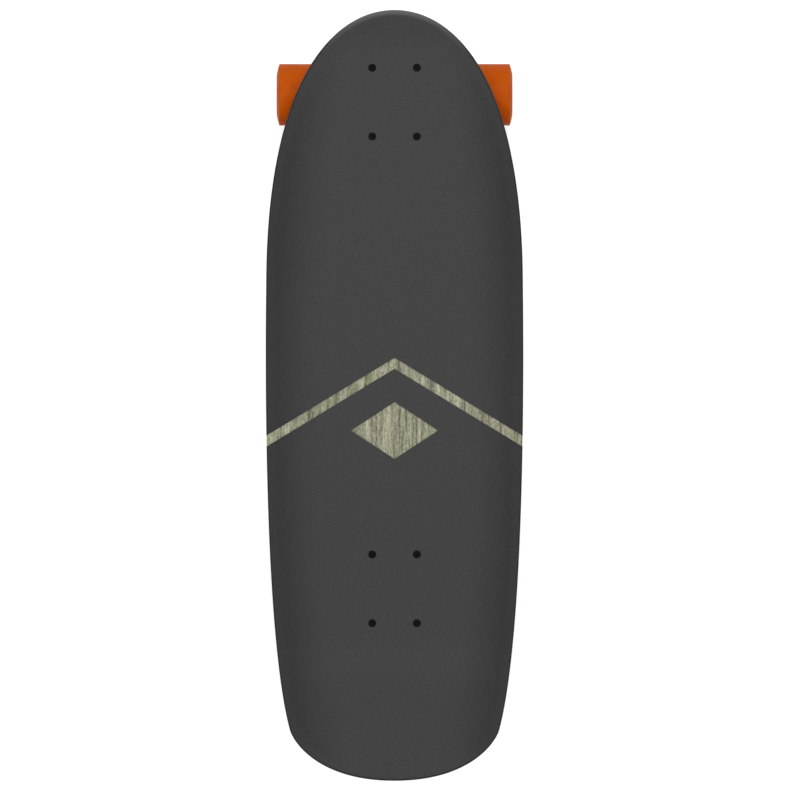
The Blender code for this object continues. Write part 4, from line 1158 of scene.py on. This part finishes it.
def cast_baseplate(settings):
    """The plate with its boss for the kingpin and its housing for the pivot cup, not yet drilled."""
    radius = PLATE_CORNER_RADIUS
    across, along = PLATE_WIDTH / 2 - radius, PLATE_LENGTH / 2 - radius
    corners = []
    for x in (-across, across):
        for y in (-along, along):
            corners.append((moved(x, y, 0), radius, PLATE_STOCK))
            corners.append((moved(x, y, 0), radius - PLATE_DRAFT, -PLATE_THICKNESS))
    waists = []
    for side in (-1, 1):
        away = moved(side * (PLATE_WIDTH / 2 - WAIST_DEPTH + WAIST_RADIUS), 0, 0)
        waists.append(round_bar(WAIST_RADIUS, -CUTTER_REACH, CUTTER_REACH, away, WAIST_STEPS))
    plate = machined(wrapped(*corners), cut=waists)
    level = -PLATE_THICKNESS / 2
    kingpin_y = RING_CENTRE_Y + (level - RING_CENTRE_Z) * tan(KINGPIN_TILT)
    boss = wrapped(
        (KINGPIN_FRAME, BOSS_RADIUS, BOSS_SEAT - PLATE_STOCK),
        (moved(0, kingpin_y, 0), BOSS_FOOT_RADIUS, level),
    )
    cup_floor = PIVOT_BALL_RADIUS + CUP_FLOOR + 2 * SEAT_GAP
    foot, taper = HOUSING_FOOT_RADIUS, HOUSING_FOOT_TAPER
    housing = wrapped(
        (STEERING_FRAME, HOUSING_RADIUS, -HOUSING_MOUTH),
        (STEERING_FRAME, CUP_RADIUS + SEAT_GAP + HOUSING_WALL, cup_floor),
        (moved(0, PIVOT_Y, 0), foot, level),
        (moved(0, HOUSING_FOOT_END - foot, 0), foot - taper, level),
    )
    casting = cast(gathered(plate, boss, housing), settings)
    trim(casting, (0, 0, 0), (0, 0, 1))
    return casting


def baseplate_cuts():
    """What the machining takes off a baseplate: boss face, kingpin bore, cup bore and bolt holes."""
    facing = BOSS_SEAT - CUTTER_REACH
    boss_face = round_bar(BOSS_RADIUS + PLATE_STOCK, facing, BOSS_SEAT, KINGPIN_FRAME)
    shank, head = KINGPIN_RADIUS + SEAT_GAP, KINGPIN_HEAD_RADIUS + BOLT_CLEARANCE
    pocket = KINGPIN_HEAD_FOOT - SEAT_GAP
    past_plate = -RING_CENTRE_Z / cos(KINGPIN_TILT) + CUTTER_REACH
    profile = [(head, past_plate), (head, pocket), (shank, pocket), (shank, facing)]
    kingpin_bore = turned(profile, KINGPIN_FRAME)
    cup, mouth = CUP_RADIUS + SEAT_GAP, -HOUSING_MOUTH - CUTTER_REACH
    cup_floor = PIVOT_BALL_RADIUS + CUP_FLOOR + 2 * SEAT_GAP
    cup_bore = turned([(cup, cup_floor, ROUND_EDGE), (cup, mouth)], STEERING_FRAME)
    hole, low = BOLT_RADIUS + BOLT_CLEARANCE, -PLATE_THICKNESS - CUTTER_REACH
    holes = [
        round_bar(hole, low, CUTTER_REACH, moved(x, y, 0), SMALL_TURN_STEPS)
        for x, y in bolt_places()
    ]
    return [boss_face, kingpin_bore, cup_bore, gathered(*holes)]


class BuildBaseplates(bpy.types.Operator):
    """Cast and drill the two baseplates, and press in their pivot cups"""

    bl_idname = "cruiser.baseplates"
    bl_label = "Baseplates"

    def execute(self, context):
        casting = cast_baseplate(context.scene.cruiser_truck)
        baseplate = machined(casting, cut=baseplate_cuts())
        bore, mouth = PIVOT_BALL_RADIUS + SEAT_GAP, -CUP_MOUTH
        outside = [(CUP_RADIUS, bore + CUP_FLOOR, ROUND_EDGE), (CUP_RADIUS, mouth, EASED_EDGE)]
        cup = turned([*outside, (bore, mouth, EASED_EDGE), *up_a_ball(bore)])
        place_on_trucks(
            ("cast_baseplate", "baseplate", baseplate, AS_MODELLED),
            ("moulded_pivot_cup", "pivot_cup", cup, STEERING_FRAME),
        )
        return {"FINISHED"}


def cup_washer(radius, outer_face, towards_bushing):
    """A dished washer whose lip holds the bushing's end."""
    bore = KINGPIN_RADIUS + SEAT_GAP
    inner_face = outer_face + towards_bushing * WASHER_THICKNESS
    lip = inner_face + towards_bushing * WASHER_LIP
    profile = [
        (radius, outer_face, WASHER_ROUNDING),
        (radius, lip, EASED_EDGE),
        (radius - WASHER_LIP_WALL, lip, EASED_EDGE),
        (radius - WASHER_LIP_WALL, inner_face, SOFT_EDGE),
        (bore, inner_face, FINE_EDGE),
        (bore, outer_face, FINE_EDGE),
    ]
    return turned(profile, ring=True)


class BuildKingpins(bpy.types.Operator):
    """Fit the kingpins, their lock nuts and the cup washers"""

    bl_idname = "cruiser.kingpins"
    bl_label = "Kingpins"

    def execute(self, context):
        head, shank = KINGPIN_HEAD_RADIUS, KINGPIN_RADIUS
        head_top = KINGPIN_HEAD_FOOT + KINGPIN_HEAD_HEIGHT
        profile = [(head, head_top, KINGPIN_HEAD_ROUNDING), (head, KINGPIN_HEAD_FOOT, EASED_EDGE)]
        profile.append((shank, KINGPIN_HEAD_FOOT))
        start, end = KINGPIN_NUT_TOP + WASHER_THICKNESS, KINGPIN_END
        profile += thread(shank, KINGPIN_THREAD_DEPTH, start, end, KINGPIN_PITCH, KINGPIN_TIP_TAPER)
        kingpin = turned(profile)
        nut = lock_nut(KINGPIN_NUT_FLATS, KINGPIN_NUT_HEIGHT, shank)
        nut_place = KINGPIN_FRAME @ moved(0, 0, KINGPIN_NUT_TOP) @ UPSIDE_DOWN
        board_face = BOARD_WASHER_FOOT + WASHER_THICKNESS
        road_face = ROAD_WASHER_TOP - WASHER_THICKNESS
        large = cup_washer(BOARD_WASHER_RADIUS, board_face, -1)
        small = cup_washer(ROAD_WASHER_RADIUS, road_face, 1)
        place_on_trucks(
            ("kingpin_bolt", "kingpin", kingpin, KINGPIN_FRAME),
            ("kingpin_lock_nut", "kingpin_nut", nut, nut_place),
            ("large_cup_washer", "board_washer", large, KINGPIN_FRAME),
            ("small_cup_washer", "road_washer", small, KINGPIN_FRAME),
        )
        return {"FINISHED"}


def bushing(wide_end, tip_end, tip_radius, tip_rounding):
    """A bushing from its wide end to its tip, with rows between them, so that it can bend."""
    bore, height = KINGPIN_RADIUS + SEAT_GAP, tip_end - wide_end
    narrowing = (BUSHING_RADIUS - tip_radius) / (BUSHING_ROWS - 1)
    rows = [
        (BUSHING_RADIUS - narrowing * (row - 1), wide_end + height * row / BUSHING_ROWS)
        for row in range(2, BUSHING_ROWS)
    ]
    profile = [(BUSHING_RADIUS, wide_end, BUSHING_ROUNDING), *rows, (tip_radius, tip_end, tip_rounding)]
    return turned([*profile, (bore, tip_end, EASED_EDGE), (bore, wide_end, EASED_EDGE)], ring=True)


class BuildBushings(bpy.types.Operator):
    """Fit the barrel and cone bushings, which give between the board and the hanger"""

    bl_idname = "cruiser.bushings"
    bl_label = "Bushings"

    def execute(self, context):
        foot, head = BOARD_BUSHING_FOOT, ROAD_BUSHING_TOP
        barrel_head, cone_foot = foot + BOARD_BUSHING_HEIGHT, head - ROAD_BUSHING_HEIGHT
        barrel = bushing(barrel_head, foot, BUSHING_RADIUS, BUSHING_ROUNDING)
        cone = bushing(head, cone_foot, ROAD_BUSHING_TIP_RADIUS, ROUND_EDGE)
        shapes = (
            ("barrel_bushing", "board_bushing", barrel, barrel_head, foot),
            ("cone_bushing", "road_bushing", cone, cone_foot, head),
        )
        for end, truck in TRUCK_FRAMES.items():
            stack = truck @ KINGPIN_FRAME
            for name, node, bm, held, leaning in shapes:
                ends = [stack @ Vector((0, 0, height)) for height in (held, leaning)]
                bends = ("board", f"{end}_truck", *ends)
                place_piece(f"{end}_{name}", f"{end}_{node}", bm, stack, bends)
        return {"FINISHED"}


def cast_hanger(settings):
    """The beam round the axle, the yoke round the kingpin's ring, and the arm out to the pivot."""
    half, yoke_half, elbow_half = HANGER_WIDTH / 2, YOKE_WIDTH / 2, ELBOW_WIDTH / 2
    stock = half + HANGER_STOCK
    beam = [(BEAM_END_RADIUS, stock), (BEAM_END_RADIUS, half), (BEAM_RADIUS, yoke_half)]
    elbow = [(ELBOW_FRAME, ELBOW_RADIUS, side) for side in (elbow_half, -elbow_half)]
    ring_half = RING_WEB / 2 + RING_LIP
    ring = [(KINGPIN_FRAME, RING_RADIUS, side) for side in (ring_half, -ring_half)]
    yoke_ends = [(AXLE_FRAME, BEAM_RADIUS, side) for side in (yoke_half, -yoke_half)]
    arm_ends = [(AXLE_FRAME, BEAM_RADIUS, side) for side in (ARM_WIDTH / 2, -ARM_WIDTH / 2)]
    shoulder = (STEERING_FRAME, PIVOT_SHOULDER_RADIUS, -PIVOT_SHOULDER)
    shapes = (
        turned(with_mirror(beam), AXLE_FRAME),
        wrapped(*ring, *yoke_ends),
        wrapped(*elbow, *arm_ends),
        wrapped(*elbow, shoulder),
    )
    casting = cast(gathered(*shapes), settings)
    for side in (-1, 1):
        trim(casting, (side * half, 0, 0), (side, 0, 0))
    return casting


class BuildHangers(bpy.types.Operator):
    """Cast the two hangers and machine their bushing seats, axle bores and ends"""

    bl_idname = "cruiser.hangers"
    bl_label = "Hangers"

    def execute(self, context):
        ball, neck, root = PIVOT_BALL_RADIUS, PIVOT_NECK_RADIUS, -PIVOT_SHOULDER - HANGER_STOCK
        profile = [*reversed(up_a_ball(ball)), (neck, -PIVOT_NECK_START, PIVOT_NECK_ROUNDING)]
        nose = turned([*profile, (neck, root)], STEERING_FRAME)
        seat, hole, web = BUSHING_RADIUS + SEAT_GAP, RING_HOLE_RADIUS, RING_WEB / 2
        top, bottom = BOSS_SEAT + CUTTER_REACH, KINGPIN_END - CUTTER_REACH
        profile = [(seat, top), (seat, web), (hole, web), (hole, -web), (seat, -web)]
        ring_bore = turned([*profile, (seat + SEAT_FLARE, bottom)], KINGPIN_FRAME)
        past = HANGER_WIDTH / 2 + CUTTER_REACH
        axle_bore = round_bar(AXLE_RADIUS + SEAT_GAP, -past, past, AXLE_FRAME)
        casting = cast_hanger(context.scene.cruiser_truck)
        hanger = machined(casting, joined=[nose], cut=[ring_bore, axle_bore])
        place_on_trucks(("cast_hanger", "hanger", hanger, AS_MODELLED))
        return {"FINISHED"}


class BuildAxles(bpy.types.Operator):
    """Fit the axles, the inner races with their spacers and speed washers, and the axle nuts"""

    bl_idname = "cruiser.axles"
    bl_label = "Axles"

    def execute(self, context):
        axle = turned(with_mirror([(AXLE_RADIUS, AXLE_LENGTH / 2, ROUND_EDGE)]))
        place_on_trucks(("axle_rod", "axle", axle, AXLE_FRAME))
        race, spacer_end, stack_end = INNER_RACE_RADIUS, SPACER_LENGTH / 2, STACK_LENGTH / 2
        washer_foot = stack_end - SPEED_WASHER_THICKNESS
        levels = [(race - SPACER_STEP, -spacer_end, spacer_end, FINE_EDGE)]
        for way in (-1, 1):
            levels.append((SPEED_WASHER_RADIUS, way * washer_foot, way * stack_end, FINE_EDGE))
            levels.append((race, way * spacer_end, way * washer_foot, SOFT_EDGE))
        rings = [tube(outer, INNER_RACE_BORE, *level) for outer, *level in levels]
        nut = lock_nut(AXLE_NUT_FLATS, AXLE_NUT_HEIGHT, AXLE_RADIUS)
        place_at_corners(
            ("inner_races_and_spacer", "races_and_spacer", gathered(*rings), AS_MODELLED),
            ("axle_lock_nut", "axle_nut", nut, moved(0, 0, stack_end + SEAT_GAP)),
        )
        return {"FINISHED"}


class BuildWheels(bpy.types.Operator):
    """Pour and turn the four wheels"""

    bl_idname = "cruiser.wheels"
    bl_label = "Wheels"

    def execute(self, context):
        settings = context.scene.cruiser_wheel
        seat = BEARING_RADIUS + BEARING_FIT
        mouth = SPACER_LENGTH / 2 + BEARING_WIDTH + SEAT_GAP
        step = SPACER_LENGTH / 2 - SEAT_GAP
        outside = [
            (WHEEL_LIP_INNER_RADIUS, WHEEL_SIDE, settings.lip),
            (WHEEL_LIP_OUTER_RADIUS, WHEEL_SIDE, settings.lip),
            (WHEEL_SHOULDER_RADIUS, WHEEL_SIDE - WHEEL_SHOULDER_DROP, WHEEL_SHOULDER_ROUNDING),
            (settings.diameter / 2, WHEEL_SIDE - WHEEL_EDGE_DROP, settings.corner),
        ]
        inside = [(seat, -mouth, SOFT_EDGE), (seat, -step), (WHEEL_CORE_BORE_RADIUS, -step, EASED_EDGE)]
        wheel = turned(with_mirror(outside) + with_mirror(inside), steps=WHEEL_STEPS, ring=True)
        place_at_corners(("poured_wheel", "wheel", wheel, AS_MODELLED))
        return {"FINISHED"}


class BuildBearings(bpy.types.Operator):
    """Press in the eight sealed bearings"""

    bl_idname = "cruiser.bearings"
    bl_label = "Bearings"

    def execute(self, context):
        outer, side = BEARING_RADIUS, BEARING_WIDTH / 2
        race, bore = outer - BEARING_RACE_DEPTH, INNER_RACE_RADIUS + SEAT_GAP
        solids = [tube(outer, race, -side, side, SOFT_EDGE)]
        face = side - SEAL_RECESS
        back, dish = face - SEAL_THICKNESS, face - SEAL_DISH
        for way in (-1, 1):
            profile = [
                (race - SEAL_PLAY, way * back),
                (race - SEAL_PLAY, way * face, FINE_EDGE),
                (race - SEAL_RIM, way * face, HAIR_EDGE),
                (race - SEAL_RIM - SEAL_RIM_SLOPE, way * dish, HAIR_EDGE),
                (bore + SEAL_LIP + SEAL_DISH, way * dish, HAIR_EDGE),
                (bore + SEAL_LIP, way * face, HAIR_EDGE),
                (bore, way * face, FINE_EDGE),
                (bore, way * back),
            ]
            solids.append(in_second_finish(turned(profile, ring=True)))
        bearing = gathered(*solids)
        offset = (SPACER_LENGTH + BEARING_WIDTH) / 2
        place_at_corners(
            ("outboard_sealed_bearing", "outboard_bearing", bearing, moved(0, 0, offset)),
            ("inboard_sealed_bearing", "inboard_bearing", bearing, moved(0, 0, -offset)),
        )
        return {"FINISHED"}


def camera_and_mirrored_rays(tree):
    """Shares of the rays that come from the camera, and from a reflection or glass."""
    rays = add_node(tree, "LightPath").outputs
    either = {0: rays["Is Glossy Ray"], 1: rays["Is Transmission Ray"]}
    mirrored = add_node(tree, "Math", either, operation="MAXIMUM").outputs[0]
    return rays["Is Camera Ray"], mirrored


def floor_material(stage):
    """Pale studio paper that keeps the board's shadow, runs out into white, and is clear from below."""
    material, tree, shader, place = new_material(
        "pale_studio_paper", Roughness=1.0, Base_Color=stage.floor
    )
    camera, mirrored = camera_and_mirrored_rays(tree)
    seen = add_node(tree, "Math", {0: camera, 1: mirrored}, operation="MAXIMUM").outputs[0]
    away = add_node(tree, "VectorMath", {0: place}, operation="LENGTH").outputs["Value"]
    run_out = {"Value": away, "From Min": SHADOW_REACH, "From Max": WHITE_REACH}
    whiteness = add_node(tree, "MapRange", run_out, interpolation_type="SMOOTHSTEP").outputs[0]
    behind = add_node(tree, "NewGeometry").outputs["Backfacing"]
    below = add_node(tree, "Math", {0: behind, 1: camera}, operation="MULTIPLY").outputs[0]

    paper = add_node(tree, "BsdfDiffuse", {"Color": PAPER}).outputs[0]
    glow = add_node(tree, "Emission", {"Color": "#ffffff", "Strength": PAPER_GLOW}).outputs[0]
    white = add_node(tree, "Emission", {"Color": "#ffffff", "Strength": 1.0}).outputs[0]
    shadowed = add_node(tree, "AddShader", {0: paper, 1: glow}).outputs[0]
    shown = add_node(tree, "MixShader", {0: whiteness, 1: shadowed, 2: white}).outputs[0]
    lit = add_node(tree, "MixShader", {0: seen, 1: shader.outputs[0], 2: shown}).outputs[0]
    clear = add_node(tree, "BsdfTransparent").outputs[0]
    final = add_node(tree, "MixShader", {0: below, 1: lit, 2: clear}).outputs[0]
    tree.links.new(final, tree.nodes["Material Output"].inputs["Surface"])
    return material


def light_room(scene, stage):
    """A white room, its light stronger from the walls than from the ceiling, and white in mirrors."""
    world = bpy.data.worlds.new("soft_white_room")
    world.use_nodes = True
    scene.world = world
    tree = world.node_tree
    way = add_node(tree, "TexCoord").outputs["Generated"]
    rise = add_node(tree, "SeparateXYZ", {0: way}).outputs["Z"]
    levels = []
    for wall in (stage.walls, 1.0):
        spread = {"Value": rise, "From Min": WALL_RISE, "From Max": CEILING_RISE, "To Min": wall}
        levels.append(add_node(tree, "MapRange", {**spread, "To Max": stage.ceiling}).outputs[0])
    camera, mirrored = camera_and_mirrored_rays(tree)
    strength = levels[0]
    for share, over in ((mirrored, levels[1]), (camera, 1.0)):
        inputs = {SHARE: share, NUMBER_UNDER: strength, NUMBER_OVER: over}
        strength = add_node(tree, "Mix", inputs).outputs[0]
    background = tree.nodes["Background"]
    background.inputs["Color"].default_value = linear_colour("#ffffff")
    tree.links.new(strength, background.inputs["Strength"])


class BuildStage(bpy.types.Operator):
    """Lay the pale floor, hang the lights and stand the camera over the board"""

    bl_idname = "cruiser.stage"
    bl_label = "Stage"

    def execute(self, context):
        scene = context.scene
        stage = scene.cruiser_stage
        bm = bmesh.new()
        bmesh.ops.create_circle(bm, cap_ends=True, segments=WHEEL_STEPS, radius=FLOOR_RADIUS)
        floor = as_object(bm, "studio_floor")
        floor.data.materials.append(floor_material(stage))
        light_room(scene, stage)

        lamp = bpy.data.lights.new("strip_light", "AREA")
        lamp.shape = "RECTANGLE"
        lamp.size, lamp.size_y = KEY_WIDTH, KEY_LENGTH
        lamp.energy = stage.key
        key = bpy.data.objects.new("strip_light", lamp)
        key.location = KEY_PLACE
        scene.collection.objects.link(key)

        lens = bpy.data.cameras.new("overhead_camera")
        lens.lens = lens.sensor_width * stage.camera_height / stage.frame_width
        camera = bpy.data.objects.new("overhead_camera", lens)
        camera.location = (stage.centre_x, stage.centre_y, DECK_TOP_Z + stage.camera_height)
        scene.collection.objects.link(camera)
        scene.camera = camera
        scene.view_settings.view_transform = "Standard"
        return {"FINISHED"}


SETTINGS = {
    "cruiser_deck": DeckSettings,
    "cruiser_grip": GripSettings,
    "cruiser_truck": TruckSettings,
    "cruiser_wheel": WheelSettings,
    "cruiser_stage": StageSettings,
}
OPERATORS = (
    BuildStage,
    BuildDeck,
    BuildGrip,
    BuildDeckBolts,
    BuildBaseplates,
    BuildKingpins,
    BuildBushings,
    BuildHangers,
    BuildAxles,
    BuildWheels,
    BuildBearings,
)


class SkateboardPanel(bpy.types.Panel):
    """Sizes, colours and the steps that build the board"""

    bl_idname = "VIEW3D_PT_cruiser_skateboard"
    bl_label = "Cruiser skateboard"
    bl_space_type = "VIEW_3D"
    bl_region_type = "UI"
    bl_category = "Skateboard"

    def draw(self, context):
        for name, group in SETTINGS.items():
            box = self.layout.box()
            for setting in group.__annotations__:
                box.prop(getattr(context.scene, name), setting)
        for operator in OPERATORS:
            self.layout.operator(operator.bl_idname)


def register():
    for name, group in SETTINGS.items():
        bpy.utils.register_class(group)
        setattr(bpy.types.Scene, name, PointerProperty(type=group))
    for operator in (*OPERATORS, SkateboardPanel):
        bpy.utils.register_class(operator)


def unregister():
    for operator in (SkateboardPanel, *reversed(OPERATORS)):
        bpy.utils.unregister_class(operator)
    for name, group in reversed(SETTINGS.items()):
        delattr(bpy.types.Scene, name)
        bpy.utils.unregister_class(group)


def main():
    register()
    for operator in OPERATORS:
        family, step = operator.bl_idname.split(".")
        getattr(getattr(bpy.ops, family), step)()


if __name__ == "__main__":
    main()
